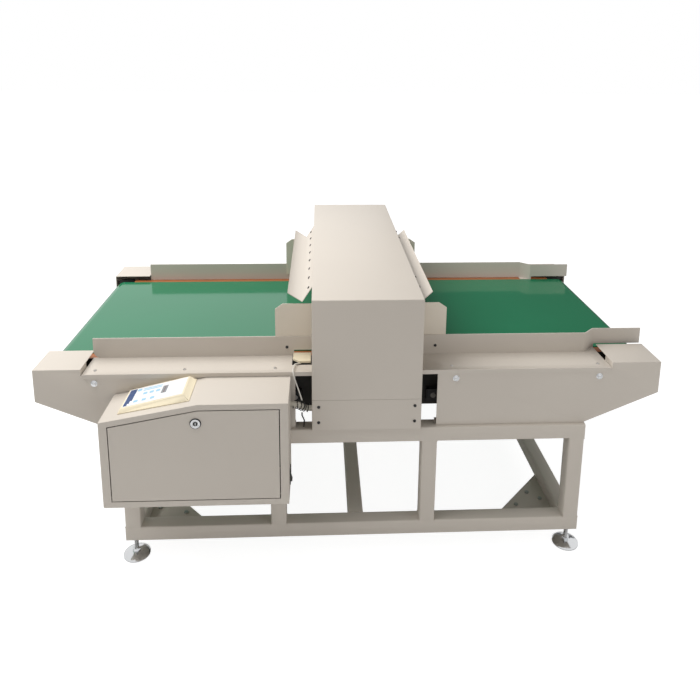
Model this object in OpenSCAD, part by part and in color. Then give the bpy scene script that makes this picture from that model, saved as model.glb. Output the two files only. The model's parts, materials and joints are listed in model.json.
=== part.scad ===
// Conveyor needle detector: a flat belt on a square tube stand, carried through a sensor head.
// X runs along the belt, Y from the operator's side to the back, Z up from the floor.

/* [Conveyor] */
// overall length over the end covers
conveyor_length = 1782; // [1400:1:2400]
// belt width
belt_width = 600; // [300:1:900]
// top of the belt above the floor
belt_top = 583; // [540:0.5:900]
// belt thickness
belt_thick = 2.5; // [1:0.1:5]
// radius of the two end rollers
roller_r = 30; // [25:0.5:36]
// end of the covers to the roller's axis
roller_setback = 39.4; // [39:0.1:60]
// radius of the two rollers that lead the return run under the head
snub_r = 20; // [12:0.5:26]
// lowest face of the return run above the floor
return_z = 432; // [420:0.5:450]
// thickness of the slide bed boards
bed_t = 12; // [6:0.5:15]
// belt edge to the inner face of the side plates
side_gap = 31; // [20:0.5:45]
// thickness of the side plates and of the guides
guide_t = 3; // [2:0.1:5]

/* [Stand] */
// length of the tube frame
stand_length = 1341; // [1000:1:1500]
// belt edge to the front or back of the tube frame
stand_side = 150; // [120:1:200]
// middle of the frame to the middle of the belt
stand_shift = 8.5; // [-30:0.5:30]
// side of the square tube
tube = 45; // [30:1:60]
// wall of the square tube
tube_wall = 2.5; // [1.5:0.1:4]
// underside of the frame above the floor
stand_bottom = 60; // [58:0.5:80]
// top of the frame above the floor
stand_top = 411; // [350:0.5:420]
// clear width of the left bay
bay_left = 378; // [250:1:500]
// clear width of the right bay
bay_right = 389.5; // [250:1:500]

/* [Castors and feet] */
// side of the corner plate along the length
gusset_x = 205; // [160:1:260]
// side of the corner plate along the depth
gusset_y = 210; // [160:1:260]
// corner of the frame to the swivel axis, along the length
castor_in_x = 65; // [50:1:90]
// corner of the frame to the swivel axis, along the depth
castor_in_y = 77; // [50:1:90]
// radius of the castor wheel
wheel_r = 21; // [15:0.5:22]
// width of the castor wheel
wheel_w = 18; // [12:0.5:26]
// swivel axis to the wheel's axis
castor_trail = 41; // [30:0.5:50]
// way that the castors trail at rest
castor_angle = -61; // [-180:1:180]
// gap between a castor wheel and the floor while the feet carry the machine
wheel_lift = 2; // [0.5:0.1:5]
// radius of the foot's pad
pad_r = 38.5; // [25:0.5:45]
// height of the foot's pad
pad_h = 12; // [8:0.5:16]
// radius of the foot's spindle
spindle_r = 6; // [4:0.25:8]

/* [Side covers] */
// front of the tube frame back to the outer face of the cover
cover_set = 11.2; // [4:0.1:25]
// middle of the belt to where the cover's underside starts to rise
cover_knee = 673; // [600:1:800]
// lower edge of the cover's end above the floor
cover_end_z = 504; // [450:1:520]
// length of the raised end cap at the left
cap_left = 131; // [90:1:150]
// length of the raised end cap at the right
cap_right = 143; // [90:1:150]
// top of the belt to the top of the end cap
cap_rise = 17; // [8:0.5:30]
// inner edge of the end cap beyond the belt's edge
cap_gap = 20; // [5:0.5:28]
// head's side to the inner end of a front or back cover
cover_clear = 47; // [20:1:90]
// thickness of the folded sheet
sheet = 2; // [1:0.1:3]
// height of the raised lip on the rail plate
lip_h = 2.5; // [1:0.5:16]

/* [Guides] */
// height of the guide plates above the belt
guide_h = 61; // [30:1:100]
// left end of the left guides to the middle of the belt
guide_left = 758; // [600:1:758]
// middle of the belt to where the right guides turn inward
guide_turn = 706; // [500:1:740]
// length of that turn
turn_length = 35; // [20:1:60]
// height over the belt of the guide's end beyond the turn
guide_end_rise = 12; // [4:0.5:30]
// height of the side wings over the belt
wing_h = 162; // [125:1:190]
// length of the left wings
wing_left = 109; // [60:1:150]
// length of the right wings
wing_right = 87; // [60:1:150]

/* [Head] */
// length of the head along the belt
head_length = 312; // [260:1:420]
// middle of the head to the middle of the belt
head_shift = 38; // [-60:1:60]
// front face of the head beyond the tube frame
head_out_front = 7; // [3:0.5:40]
// back face of the head beyond the tube frame
head_out_rear = 207; // [150:1:260]
// roof of the tunnel to the top of the head
head_crown = 100; // [60:1:200]
// clear height of the tunnel over the belt
tunnel_h = 122; // [60:1:140]
// seam between the hood and the lower panels above the floor
seam_z = 505.7; // [460:0.5:540]
// height of the lower sensor
lower_sensor_h = 125; // [80:1:125]
// length of each sensor inside the head
sensor_length = 290; // [240:1:300]
// reach of the left flap from the head
flap_left = 72; // [50:1:100]
// reach of the right flap from the head
flap_right = 43; // [30:1:70]

/* [Control box] */
// width of the control box
box_width = 492; // [400:1:520]
// depth of the control box
box_depth = 135; // [100:1:200]
// height of the control box
box_height = 297; // [240:1:320]
// right side of the box to the head
box_gap = 60; // [60:1:80]
// top of the belt down to the top of the box
box_drop = 10; // [10:0.5:30]
// length of the level part of the top
box_flat = 235; // [180:1:300]
// fall of the sloping part of the top
box_fall = 48; // [20:1:80]
// length of the keypad's housing
keypad_l = 191; // [150:1:230]
// depth of the keypad's housing
keypad_w = 115; // [80:1:120]
// height of the keypad's housing at its lower end
keypad_low = 10; // [6:0.5:24]
// height of the keypad's housing at its upper end
keypad_h = 18.5; // [12:0.5:30]
// radius of the lock's barrel
lock_r = 9; // [6:0.25:11]

/* [Hidden] */
// clearances
over = 1;              // how far a cut runs past the face it opens
fit = 0.05;            // radial clearance of a running fit
hole_gap = 0.2;        // radial clearance of a bolt hole
run_gap = 0.3;         // gap between moving faces
face_gap = 0.7;        // shadow gap between two panels
line_t = 0.6;          // thickness of a plate label or of an overlay
fine = 64;             // facets of a round piece

// photocell
cell_gap = 4;
cell_l = 52;
cell_t = 54;
cell_drop = 10;
cell_up = 9;
cell_lid = 6;          // height of the photocell's lid over its darker body
cell_rim = 1;          // the lid stands this far over the body
cell_corner = 18;
cell_room = 2;         // free room at the end of the photocell
cell_front = 6;        // free room in front of the photocell

// lengths along the conveyor
half_length = conveyor_length / 2;
roller_x = half_length - roller_setback;
cap_x0 = half_length - cap_left;
cap_x1 = half_length - cap_right;
head_x0 = head_shift - head_length / 2;
head_x1 = head_shift + head_length / 2;
snub_reach = 52;
snub_x0 = head_x0 - snub_reach;
snub_x1 = head_x1 + snub_reach;
stand_x0 = stand_shift - stand_length / 2;
stand_x1 = stand_shift + stand_length / 2;
leg_x = [stand_x0, stand_x0 + tube + bay_left, stand_x1 - 2 * tube - bay_right, stand_x1 - tube];
web_end = 10;          // end of the side plate inside the cover's end
web_x = half_length - web_end;
cell_x0 = head_x0 - cell_gap - cell_l - cell_room;

// widths
web_y = belt_width / 2 + side_gap;
web_out = web_y + guide_t;
roller_short = 3;                  // each end of a roller inside the belt's edge
stand_y = belt_width / 2 + stand_side;
cover_y = stand_y - cover_set;
cap_y = belt_width / 2 + cap_gap;
lip_t = 1.8;
lip_drop = 10;
head_front = stand_y + head_out_front;
head_rear = stand_y + head_out_rear;
column_y = web_out + over;         // inner face of the head's columns
roller_face = belt_width - 2 * roller_short;
box_front = stand_y + box_depth;
lock_ring_t = 3.3;
lock_front = box_front + run_gap + lock_ring_t;
// the part is drawn about the belt and then centred between its front and back
depth_shift = (lock_front - head_rear) / 2;

// heights
bed_top = belt_top - belt_thick;
roller_z = bed_top - run_gap - roller_r;
snub_z = return_z + belt_thick + run_gap + snub_r;
rail_z = belt_top - sheet;
cap_z = belt_top + cap_rise;
rail_end_gap = 1.5;                // open gap between a rail plate and the end cap
lip_end_gap = 8;                   // the lip stops this far from the end cap
tray_z = stand_top + sheet;
tunnel_z = belt_top + tunnel_h;
head_top = tunnel_z + head_crown;
guide_top = belt_top + guide_h;
wing_top = belt_top + wing_h;
box_top = belt_top - box_drop;
box_bottom = box_top - box_height;

// colours
white_paint = [0.87, 0.83, 0.77];
cream_paint = [0.84, 0.79, 0.70];
steel = [0.66, 0.66, 0.65];
chrome = [0.80, 0.81, 0.82];
dark = [0.12, 0.12, 0.12];
green = [0.20, 0.48, 0.32];
brown = [0.55, 0.30, 0.14];
nylon = [0.88, 0.85, 0.72];

module placed() translate([0, depth_shift, 0]) children();

module both_sides() {
    children();
    mirror([0, 1, 0]) children();
}

// a block between two corners
module block(a, b) translate(a) cube(b - a);

// a closed square tube or box between two corners
module hollow(a, b, w) {
    difference() {
        block(a, b);
        block(a + [w, w, w], b - [w, w, w]);
    }
}

// an outline in X and Z, drawn out along Y from y0
module plate_xz(points, y0, t) translate([0, y0 + t, 0]) rotate([90, 0, 0]) linear_extrude(t) polygon(points);

// an outline in Y and Z, drawn out along X from x0
module plate_yz(points, x0, t) translate([x0, 0, 0]) rotate([90, 0, 90]) linear_extrude(t) polygon(points);

// a round bar along Y from y0 to y1
module bar_y(x, z, r, y0, y1) translate([x, y1, z]) rotate([90, 0, 0]) cylinder(r = r, h = y1 - y0, $fn = fine);

// Stand
insert_r = 11;
insert_h = 34;
spindle_in = 28;       // length of the foot's spindle inside the frame at rest
foot_points = [[stand_x0 + tube / 2, -1], [stand_x1 - tube / 2, -1], [stand_x0 + tube / 2, 1], [stand_x1 - tube / 2, 1]];
function foot_at(i) = [foot_points[i][0], foot_points[i][1] * (stand_y - tube / 2), 0];

module stand_bottom_rails() {
    color(white_paint) placed() {
        difference() {
            both_sides() hollow([stand_x0, -stand_y, stand_bottom], [stand_x1, tube - stand_y, stand_bottom + tube], tube_wall);
            for (i = [0:3]) translate(foot_at(i) + [0, 0, stand_bottom - over])
                cylinder(r = insert_r + fit, h = tube_wall + 2 * over, $fn = fine);
        }
        for (i = [0:3]) translate(foot_at(i) + [0, 0, stand_bottom]) difference() {
            cylinder(r = insert_r, h = insert_h, $fn = fine);
            translate([0, 0, -over]) cylinder(r = spindle_r + fit, h = insert_h + 2 * over, $fn = fine);
        }
    }
}

module stand_top_rails()
    color(white_paint) placed() both_sides()
        hollow([stand_x0, -stand_y, stand_top - tube], [stand_x1, tube - stand_y, stand_top], tube_wall);

module stand_legs()
    color(white_paint) placed() both_sides() for (x = leg_x)
        hollow([x, -stand_y, stand_bottom + tube], [x + tube, tube - stand_y, stand_top - tube], tube_wall);

mid_tube_x = -10;
module stand_cross_tubes()
    color(white_paint) placed() for (x = [stand_x0, mid_tube_x, stand_x1 - tube], z = [stand_bottom, stand_top - tube])
        hollow([x, tube - stand_y, z], [x + tube, stand_y - tube, z + tube], tube_wall);

// Levelling feet: a stamped dome, a hexagon and a threaded spindle
pad_shares = [[0, 0], [1, 0], [1, 0.25], [0.93, 0.42], [0.72, 0.62], [0.45, 0.92], [0.36, 1], [0, 1]];
nut_r = 11;
nut_h = 8;
module foot(i) {
    color(chrome) placed() translate(foot_at(i)) {
        rotate_extrude($fn = fine) polygon([for (p = pad_shares) [p[0] * pad_r, p[1] * pad_h]]);
        translate([0, 0, pad_h]) cylinder(r = nut_r, h = nut_h, $fn = 6);
        translate([0, 0, pad_h]) cylinder(r = spindle_r, h = stand_bottom + spindle_in - pad_h, $fn = fine);
    }
}
module levelling_foot_fl() foot(0);
module levelling_foot_fr() foot(1);
module levelling_foot_rl() foot(2);
module levelling_foot_rr() foot(3);

// Castors: corner plate, bolted mount, swivelling fork, wheel
gusset_t = 4;
mount_t = 3;
race_r = 19;
race_t = 4;
king_r = 5;
king_head_r = 8;
king_head_t = 3;
fork_t = 3;
arm_t = 2.5;
axle_r = 4;
bolt_long = 76;
bolt_short = 45;
mount_edge = 8;
bolt_r = 3;
bolt_head_r = 6.6;
bolt_head_t = 4.5;
bolt_turn = 47;
corners = [[-1, -1], [1, -1], [-1, 1], [1, 1]];
function corner_x(i) = corners[i][0] < 0 ? stand_x0 + tube : stand_x1 - tube;
function corner_y(i) = corners[i][1] * (stand_y - tube);
function castor_at(i) = [corner_x(i) - corners[i][0] * castor_in_x, corner_y(i) - corners[i][1] * castor_in_y, 0];
bolt_spots = [for (a = [-1, 1], b = [-1, 1]) [a * bolt_long / 2, b * bolt_short / 2]];
fork_top = stand_bottom - mount_t - race_t - run_gap;
axle_z = wheel_lift + wheel_r;

module castor_bolt_holes(i, r, z0, z1)
    translate(castor_at(i)) rotate(bolt_turn * corners[i][0] * corners[i][1] * -1)
        for (p = bolt_spots) translate([p[0], p[1], z0]) cylinder(r = r, h = z1 - z0, $fn = fine);

module castor_plates()
    color(white_paint) placed() for (i = [0:3]) difference() {
        translate([0, 0, stand_bottom]) linear_extrude(gusset_t) polygon([
            [corner_x(i), corner_y(i)],
            [corner_x(i) - corners[i][0] * gusset_x, corner_y(i)],
            [corner_x(i), corner_y(i) - corners[i][1] * gusset_y]
        ]);
        castor_bolt_holes(i, bolt_r + hole_gap, stand_bottom - over, stand_bottom + gusset_t + over);
    }

module castor_mounts()
    color(steel) placed() for (i = [0:3]) difference() {
        union() {
            translate(castor_at(i)) rotate(bolt_turn * corners[i][0] * corners[i][1] * -1)
                block([-bolt_long / 2 - mount_edge, -bolt_short / 2 - mount_edge, stand_bottom - mount_t],
                      [bolt_long / 2 + mount_edge, bolt_short / 2 + mount_edge, stand_bottom]);
            translate(castor_at(i) + [0, 0, stand_bottom - mount_t - race_t]) cylinder(r = race_r, h = race_t, $fn = fine);
            translate(castor_at(i) + [0, 0, fork_top - fork_t - run_gap - king_head_t])
                cylinder(r = king_r, h = king_head_t + fork_t + 2 * run_gap + race_t, $fn = fine);
            translate(castor_at(i) + [0, 0, fork_top - fork_t - run_gap - king_head_t])
                cylinder(r = king_head_r, h = king_head_t, $fn = fine);
        }
        castor_bolt_holes(i, bolt_r + hole_gap, stand_bottom - mount_t - over, stand_bottom + over);
    }

module castor_bolts()
    color(chrome) placed() for (i = [0:3]) {
        castor_bolt_holes(i, bolt_r, stand_bottom - mount_t - bolt_head_t, stand_bottom + gusset_t + bolt_head_t);
        translate(castor_at(i)) rotate(bolt_turn * corners[i][0] * corners[i][1] * -1)
            for (p = bolt_spots, z = [stand_bottom - mount_t - bolt_head_t, stand_bottom + gusset_t])
                translate([p[0], p[1], z]) cylinder(r = bolt_head_r, h = bolt_head_t, $fn = 6);
    }

arm_in = wheel_w / 2 + over;
arm_low = 7;
module fork(i) {
    color(steel) placed() translate(castor_at(i)) rotate(castor_angle) {
        difference() {
            union() {
                block([-race_r, -arm_in - arm_t, fork_top - fork_t], [race_r, arm_in + arm_t, fork_top]);
                for (s = [-1, 1]) plate_xz([
                    [-race_r, fork_top], [race_r, fork_top],
                    [castor_trail + arm_low, axle_z + arm_low / 2], [castor_trail + arm_low / 2, axle_z - arm_low],
                    [castor_trail - arm_low, axle_z - arm_low], [-race_r, fork_top - fork_t - arm_low / 2]
                ], s * (arm_in + arm_t / 2) - arm_t / 2, arm_t);
            }
            translate([0, 0, fork_top - fork_t - over]) cylinder(r = king_r + fit, h = fork_t + 2 * over, $fn = fine);
        }
        bar_y(castor_trail, axle_z, axle_r, -arm_in - arm_t, arm_in + arm_t);
    }
}
module castor_fork_fl() fork(0);
module castor_fork_fr() fork(1);
module castor_fork_rl() fork(2);
module castor_fork_rr() fork(3);

tread_share = 0.86;
module wheel(i) {
    color(nylon) placed() translate(castor_at(i)) rotate(castor_angle) difference() {
        union() {
            bar_y(castor_trail, axle_z, wheel_r, -wheel_w * tread_share / 2, wheel_w * tread_share / 2);
            bar_y(castor_trail, axle_z, wheel_r / 2, -wheel_w / 2, wheel_w / 2);
        }
        bar_y(castor_trail, axle_z, axle_r + fit, -wheel_w, wheel_w);
    }
}
module castor_wheel_fl() wheel(0);
module castor_wheel_fr() wheel(1);
module castor_wheel_rl() wheel(2);
module castor_wheel_rr() wheel(3);

// Base tray under the head, with a lip in front of the top rail
tray_lip = 9;
module base_tray()
    color(white_paint) placed() {
        block([head_x0, -stand_y - sheet, stand_top], [head_x1, head_rear, tray_z]);
        block([head_x0, -stand_y - sheet, stand_top - tray_lip], [head_x1, -stand_y, stand_top]);
    }

// Side plates of the belt frame, with holes for the shafts and feet on the end cross tubes
web_rise = 7;          // lower edge of the side plates above the frame
web_low = stand_top + web_rise;
web_end_z = 514;
web_foot = 34;
shaft_r = 10;
snub_shaft_r = 8;
shaft_hole = 14;
flange_w = 20;
motor_back = 250;      // roller's axis to the motor's axis
motor_drop = 22;       // roller's axis down to the motor's axis
motor_x = roller_x - motor_back;
motor_z = roller_z - motor_drop;
motor_hub = 16;
module side_plate(back) {
    difference() {
        union() {
            plate_xz([
                [-web_x, web_end_z], [-cover_knee, web_low], [cover_knee, web_low], [web_x, web_end_z],
                [web_x, rail_z], [-web_x, rail_z]
            ], -web_out, guide_t);
            for (x = [stand_x0 + tube - web_foot, stand_x1 - tube])
                block([x, -web_out, stand_top], [x + web_foot, -web_y, web_low + over]);
            block([rail_end_gap - cap_x0, -web_out - flange_w, rail_z - sheet], [cell_x0, -web_out, rail_z]);
            block([head_x1 + over, -web_out - flange_w, rail_z - sheet], [cap_x1 - rail_end_gap, -web_out, rail_z]);
        }
        for (x = [-roller_x, roller_x]) bar_y(x, roller_z, shaft_hole, -web_out - over, over - web_y);
        for (x = [snub_x0, snub_x1]) bar_y(x, snub_z, shaft_hole, -web_out - over, over - web_y);
        if (back) bar_y(motor_x, motor_z, motor_hub, -web_out - over, over - web_y);
    }
}
module side_plates()
    color(steel) placed() {
        side_plate(false);
        mirror([0, 1, 0]) side_plate(true);
    }

member_w = 30;
member_h = 20;
member_wall = 2;
member_shares = [-0.87, -0.58, -0.3, 0.4, 0.62, 0.9];
module bed_cross_members()
    color(steel) placed() for (s = member_shares)
        hollow([s * roller_x - member_w / 2, -web_y, bed_top - bed_t - member_h],
               [s * roller_x + member_w / 2, web_y, bed_top - bed_t], member_wall);

bed_end = 5;           // gap between a bed board and a roller
sensor_x0 = head_shift - sensor_length / 2;
sensor_x1 = head_shift + sensor_length / 2;
module slide_beds()
    color(brown) placed() {
        block([-roller_x + roller_r + bed_end, -web_y, bed_top - bed_t], [sensor_x0, web_y, bed_top]);
        block([sensor_x1, -web_y, bed_top - bed_t], [roller_x - roller_r - bed_end, web_y, bed_top]);
    }

belt_facets = 96;
module belt_loop(grow) hull() {
    for (x = [-roller_x, roller_x]) translate([x, roller_z]) circle(r = roller_r + grow, $fn = belt_facets);
    for (x = [snub_x0, snub_x1]) translate([x, snub_z]) circle(r = snub_r + grow, $fn = belt_facets);
}
module conveyor_belt()
    color(green) placed() translate([0, belt_width / 2, 0]) rotate([90, 0, 0]) linear_extrude(belt_width) difference() {
        belt_loop(run_gap + belt_thick);
        belt_loop(run_gap);
    }

// Rollers with their shafts
bearing_t = 18;
snub_bearing_t = 16;
bearing_w = 50;
bearing_h = 54;
snub_bearing = 40;
pulley_gap = 3;
pulley_t = 15;
pulley_r = 24;
motor_pulley_r = 16;
pulley_y0 = web_out + bearing_t + pulley_gap;
module drive_roller()
    color(steel) placed() {
        bar_y(roller_x, roller_z, roller_r, -roller_face / 2, roller_face / 2);
        bar_y(roller_x, roller_z, shaft_r, -web_out - bearing_t, pulley_y0 + pulley_t);
        bar_y(roller_x, roller_z, pulley_r, pulley_y0, pulley_y0 + pulley_t);
    }
module tail_roller()
    color(steel) placed() {
        bar_y(-roller_x, roller_z, roller_r, -roller_face / 2, roller_face / 2);
        bar_y(-roller_x, roller_z, shaft_r, -web_out - bearing_t, web_out + bearing_t);
    }
module snub(x) {
    color(steel) placed() {
        bar_y(x, snub_z, snub_r, -roller_face / 2, roller_face / 2);
        bar_y(x, snub_z, snub_shaft_r, -web_out - snub_bearing_t, web_out + snub_bearing_t);
    }
}
module snub_roller_left() snub(snub_x0);
module snub_roller_right() snub(snub_x1);

module roller_bearings()
    color(dark) placed() both_sides() {
        for (x = [-roller_x, roller_x]) difference() {
            block([x - bearing_w / 2, -web_out - bearing_t, roller_z - bearing_h / 2],
                  [x + bearing_w / 2, -web_out, roller_z + bearing_h / 2]);
            bar_y(x, roller_z, shaft_r + fit, -web_out - bearing_t - over, over - web_out);
        }
        for (x = [snub_x0, snub_x1]) difference() {
            block([x - snub_bearing / 2, -web_out - snub_bearing_t, snub_z - snub_bearing / 2],
                  [x + snub_bearing / 2, -web_out, snub_z + snub_bearing / 2]);
            bar_y(x, snub_z, snub_shaft_r + fit, -web_out - snub_bearing_t - over, over - web_out);
        }
    }

// Take-up screws between the tail roller's bearings and tabs on the side plates
tab_t = 4;
tab_h = 26;
tension_r = 4;
tension_l = 18;
tension_head = 6.5;
tension_head_t = 5;
module belt_tensioners()
    color(chrome) placed() both_sides() {
        tab_x = bearing_w / 2 + tension_l - roller_x;
        block([tab_x, -web_out - bearing_t, roller_z - tab_h / 2], [tab_x + tab_t, -web_out, roller_z + tab_h / 2]);
        translate([bearing_w / 2 - roller_x, -web_out - bearing_t / 2, roller_z]) rotate([0, 90, 0])
            cylinder(r = tension_r, h = tension_l + tab_t, $fn = fine);
        translate([tab_x + tab_t, -web_out - bearing_t / 2, roller_z]) rotate([0, 90, 0])
            cylinder(r = tension_head, h = tension_head_t, $fn = 6);
    }

// Geared motor inside the belt loop, its pulley and the toothed belt to the drive roller
gearbox_r = 34;
gearbox_l = 45;
motor_r = 31;
motor_l = 100;
motor_shaft_r = 6;
module gear_motor()
    color(dark) placed() {
        difference() {
            bar_y(motor_x, motor_z, gearbox_r, web_y - gearbox_l, web_y);
            bar_y(motor_x, motor_z, motor_shaft_r + fit, web_y - gearbox_l / 2, web_y + over);
        }
        bar_y(motor_x, motor_z, motor_r, web_y - gearbox_l - motor_l, web_y - gearbox_l);
    }
module motor_pulley()
    color(steel) placed() {
        bar_y(motor_x, motor_z, motor_shaft_r, web_y - gearbox_l / 2 + over, pulley_y0 + pulley_t);
        bar_y(motor_x, motor_z, motor_pulley_r, pulley_y0, pulley_y0 + pulley_t);
    }
drive_belt_t = 3;
module drive_loop(grow) hull() {
    translate([roller_x, roller_z]) circle(r = pulley_r + grow, $fn = belt_facets);
    translate([motor_x, motor_z]) circle(r = motor_pulley_r + grow, $fn = belt_facets);
}
module drive_belt()
    color(dark) placed() translate([0, pulley_y0 + pulley_t - over, 0]) rotate([90, 0, 0])
        linear_extrude(pulley_t - 2 * over) difference() {
            drive_loop(run_gap + drive_belt_t);
            drive_loop(run_gap);
        }

// Side covers: folded sheet with a rising underside and a raised cap at the outer end
cover_flange = 38;
cover_bolt_z = 558;
cover_bolt_r = 4;
// places of the bolts and screws as shares of the way to the end cap
cover_bolt_shares_left = [-0.9526, -0.4026];
cover_bolt_shares_right = [0.393, 0.952];
cover_bolts_left = cover_bolt_shares_left * cap_x0;
cover_bolts_right = cover_bolt_shares_right * cap_x1;
cap_open = 49;         // the cap's inner end is closed for this much from the outside, and open beyond
module cover_outline(x0, cap_x)
    polygon([
        [x0, stand_top], [cover_knee, stand_top], [half_length, cover_end_z], [half_length, cap_z],
        [cap_x, cap_z], [cap_x, rail_z], [x0, rail_z]
    ]);
module cover_inside(x0, cap_x)
    polygon([
        [x0 - over, stand_top + sheet], [cover_knee, stand_top + sheet],
        [half_length - sheet, cover_end_z + sheet], [half_length - sheet, cap_z - sheet],
        [cap_x + sheet, cap_z - sheet], [cap_x + sheet, rail_z], [cap_x, rail_z], [cap_x, rail_z + over],
        [x0 - over, rail_z + over]
    ]);
module side_cover(x0, cap_x, bolts) {
    depth = cover_y - cap_y;
    difference() {
        translate([0, depth - cover_y, 0]) rotate([90, 0, 0]) linear_extrude(depth) cover_outline(x0, cap_x);
        translate([0, over - cap_y, 0]) rotate([90, 0, 0]) linear_extrude(depth + over - sheet) cover_inside(x0, cap_x);
        block([x0 - over, cover_flange - cover_y, 0], [cap_x, over - cap_y, cap_z + over]);
        block([cap_x - over, cap_open - cover_y, rail_z - over], [cap_x + sheet + over, over - cap_y, cap_z - sheet]);
        for (x = bolts) bar_y(x, cover_bolt_z, cover_bolt_r + hole_gap, -cover_y - over, sheet + over - cover_y);
    }
}
module left_cover() mirror([1, 0, 0]) side_cover(cover_clear - head_x0, cap_x0, -cover_bolts_left);
module right_cover() side_cover(head_x1 + cover_clear, cap_x1, cover_bolts_right);
module side_cover_front_left() color(white_paint) placed() left_cover();
module side_cover_front_right() color(white_paint) placed() right_cover();
module side_cover_rear_left() color(white_paint) placed() mirror([0, 1, 0]) left_cover();
module side_cover_rear_right() color(white_paint) placed() mirror([0, 1, 0]) right_cover();

bolt_flats_r = 9.5;
bolt_cap_t = 6;
bolt_shank = 14;
module cover_bolts()
    color(chrome) placed() both_sides() for (x = concat(cover_bolts_left, cover_bolts_right)) {
        bar_y(x, cover_bolt_z, cover_bolt_r, -cover_y - over / 2, bolt_shank - cover_y);
        translate([x, -cover_y, cover_bolt_z]) rotate([90, 0, 0]) cylinder(r = bolt_flats_r, h = bolt_cap_t, $fn = 6);
    }

// Rail plates: flat sheet between the side plate and the cover, with a raised lip along the outside
rail_screw_shares_left = [-0.9586, -0.63, -0.2934];
rail_screw_shares_right = [0.3824, 0.957];
rail_screws = concat(rail_screw_shares_left * cap_x0, rail_screw_shares_right * cap_x1);
rail_screw_in = 26.8;  // row of screws in from the lip
rail_screw_y = cover_y - rail_screw_in;
screw_r = 2.5;
cell_y = web_out + cell_t + cell_front;
corner_in = 3;
module rail_plate(x0, x1) {
    left = x0 < 0 ? 1 : 0;
    block([x0 + left * rail_end_gap, -cover_y, rail_z], [x1 - (1 - left) * rail_end_gap, -web_y, belt_top]);
    block([x0 + left * lip_end_gap, -cover_y - lip_t, belt_top - lip_drop],
          [x1 - (1 - left) * lip_end_gap, -cover_y, belt_top + lip_h]);
}
module rail_plates(cell)
    difference() {
        union() {
            rail_plate(-cap_x0, head_x0);
            rail_plate(head_x1, cap_x1);
            block([guide_turn, -web_y, rail_z], [cap_x1 - rail_end_gap, -belt_width / 2 - corner_in, belt_top]);
        }
        if (cell) block([cell_x0, -cell_y, rail_z - over], [head_x0 + over, over - web_y, belt_top + over]);
        for (x = rail_screws) translate([x, -rail_screw_y, rail_z - over])
            cylinder(r = screw_r + hole_gap, h = sheet + 2 * over, $fn = fine);
    }
module rail_plates_front() color(white_paint) placed() rail_plates(true);
module rail_plates_rear() color(white_paint) placed() mirror([0, 1, 0]) rail_plates(false);

// Guide plates along both sides of the belt
guide_round = 22;
round_steps = 6;
notch_l = 54;
notch_h = 18;
module guide_plates(cell) {
    low = cell ? notch_h : 0;
    left = -guide_left;
    corner = cell ? [for (i = [0:round_steps]) [
        left + guide_round * (1 - sin(90 * i / round_steps)),
        belt_top + guide_round * (1 - cos(90 * i / round_steps))
    ]] : [[left, belt_top]];
    difference() {
        plate_xz(concat(corner, [[left, guide_top], [head_x0, guide_top], [head_x0, belt_top]]), -web_out, guide_t);
        if (cell) block([head_x0 - notch_l, -web_out - over, belt_top - over], [head_x0 + over, over - web_y, belt_top + low]);
    }
    end_y = belt_width / 2;
    difference() {
        translate([0, 0, belt_top]) linear_extrude(guide_h) polygon([
            [head_x1, -web_out], [guide_turn + over, -web_out], [guide_turn + turn_length + over, -end_y - guide_t],
            [half_length, -end_y - guide_t], [half_length, -end_y], [guide_turn + turn_length, -end_y],
            [guide_turn, -web_y], [head_x1, -web_y]
        ]);
        block([cap_x1 - over, -web_y, belt_top - over], [half_length + over, over - end_y, belt_top + guide_end_rise]);
    }
}
module guide_plates_front() color(cream_paint) placed() guide_plates(true);
module guide_plates_rear() color(cream_paint) placed() mirror([0, 1, 0]) guide_plates(false);

// Wings: thin plates behind the guides that shield the tunnel's mouths
wing_cut_x = 22;
wing_cut_z = 16;
module tunnel_wings()
    color(cream_paint) placed() both_sides() {
        wing_z = belt_top + notch_h;
        plate_xz([
            [head_x0 - wing_left, wing_z], [head_x0, wing_z], [head_x0, wing_top],
            [head_x0 - wing_left + wing_cut_x, wing_top], [head_x0 - wing_left, wing_top - wing_cut_z]
        ], -web_y, sheet);
        plate_xz([
            [head_x1 + wing_right, wing_z], [head_x1, wing_z], [head_x1, wing_top],
            [head_x1 + wing_right - wing_cut_x - over, wing_top], [head_x1 + wing_right, wing_top - wing_cut_z]
        ], -web_y, sheet);
    }

// Flaps: folded sheet on the head's sides, over the tunnel's mouths. A steep leaf that carries the
// screws runs out from the side of the head, and a second leaf rises from the fold to the tip.
flap_t = 1.5;
flap_low = 9;
flap_fold_up = 6;
flap_tip_low = 26;
flap_top = head_top - flap_low;
flap_fold_z = wing_top + flap_fold_up;
flap_tip_z = head_top - flap_tip_low;
fold_share_left = 0.4;
fold_share_right = 0.3;
function steep(reach, share) = (flap_fold_z - flap_top) / (reach * share);
module flap(reach, share) {
    fold_x = reach * share;
    fall = steep(reach, share);
    rise = (flap_tip_z - flap_fold_z) / (reach - fold_x);
    steep_t = flap_t * norm([1, fall]);
    tip_t = flap_t * norm([1, rise]);
    in_x = (steep_t - tip_t) / (rise - fall);
    plate_xz([
        [0, flap_top], [fold_x, flap_fold_z], [reach, flap_tip_z], [reach, flap_tip_z + tip_t],
        [fold_x + in_x, flap_fold_z + tip_t + rise * in_x], [0, flap_top + steep_t]
    ], -web_out, 2 * web_out);
}
module tunnel_flaps()
    color(white_paint) placed() {
        translate([head_x1, 0, 0]) flap(flap_right, fold_share_right);
        translate([head_x0, 0, 0]) mirror([1, 0, 0]) flap(flap_left, fold_share_left);
    }

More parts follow.
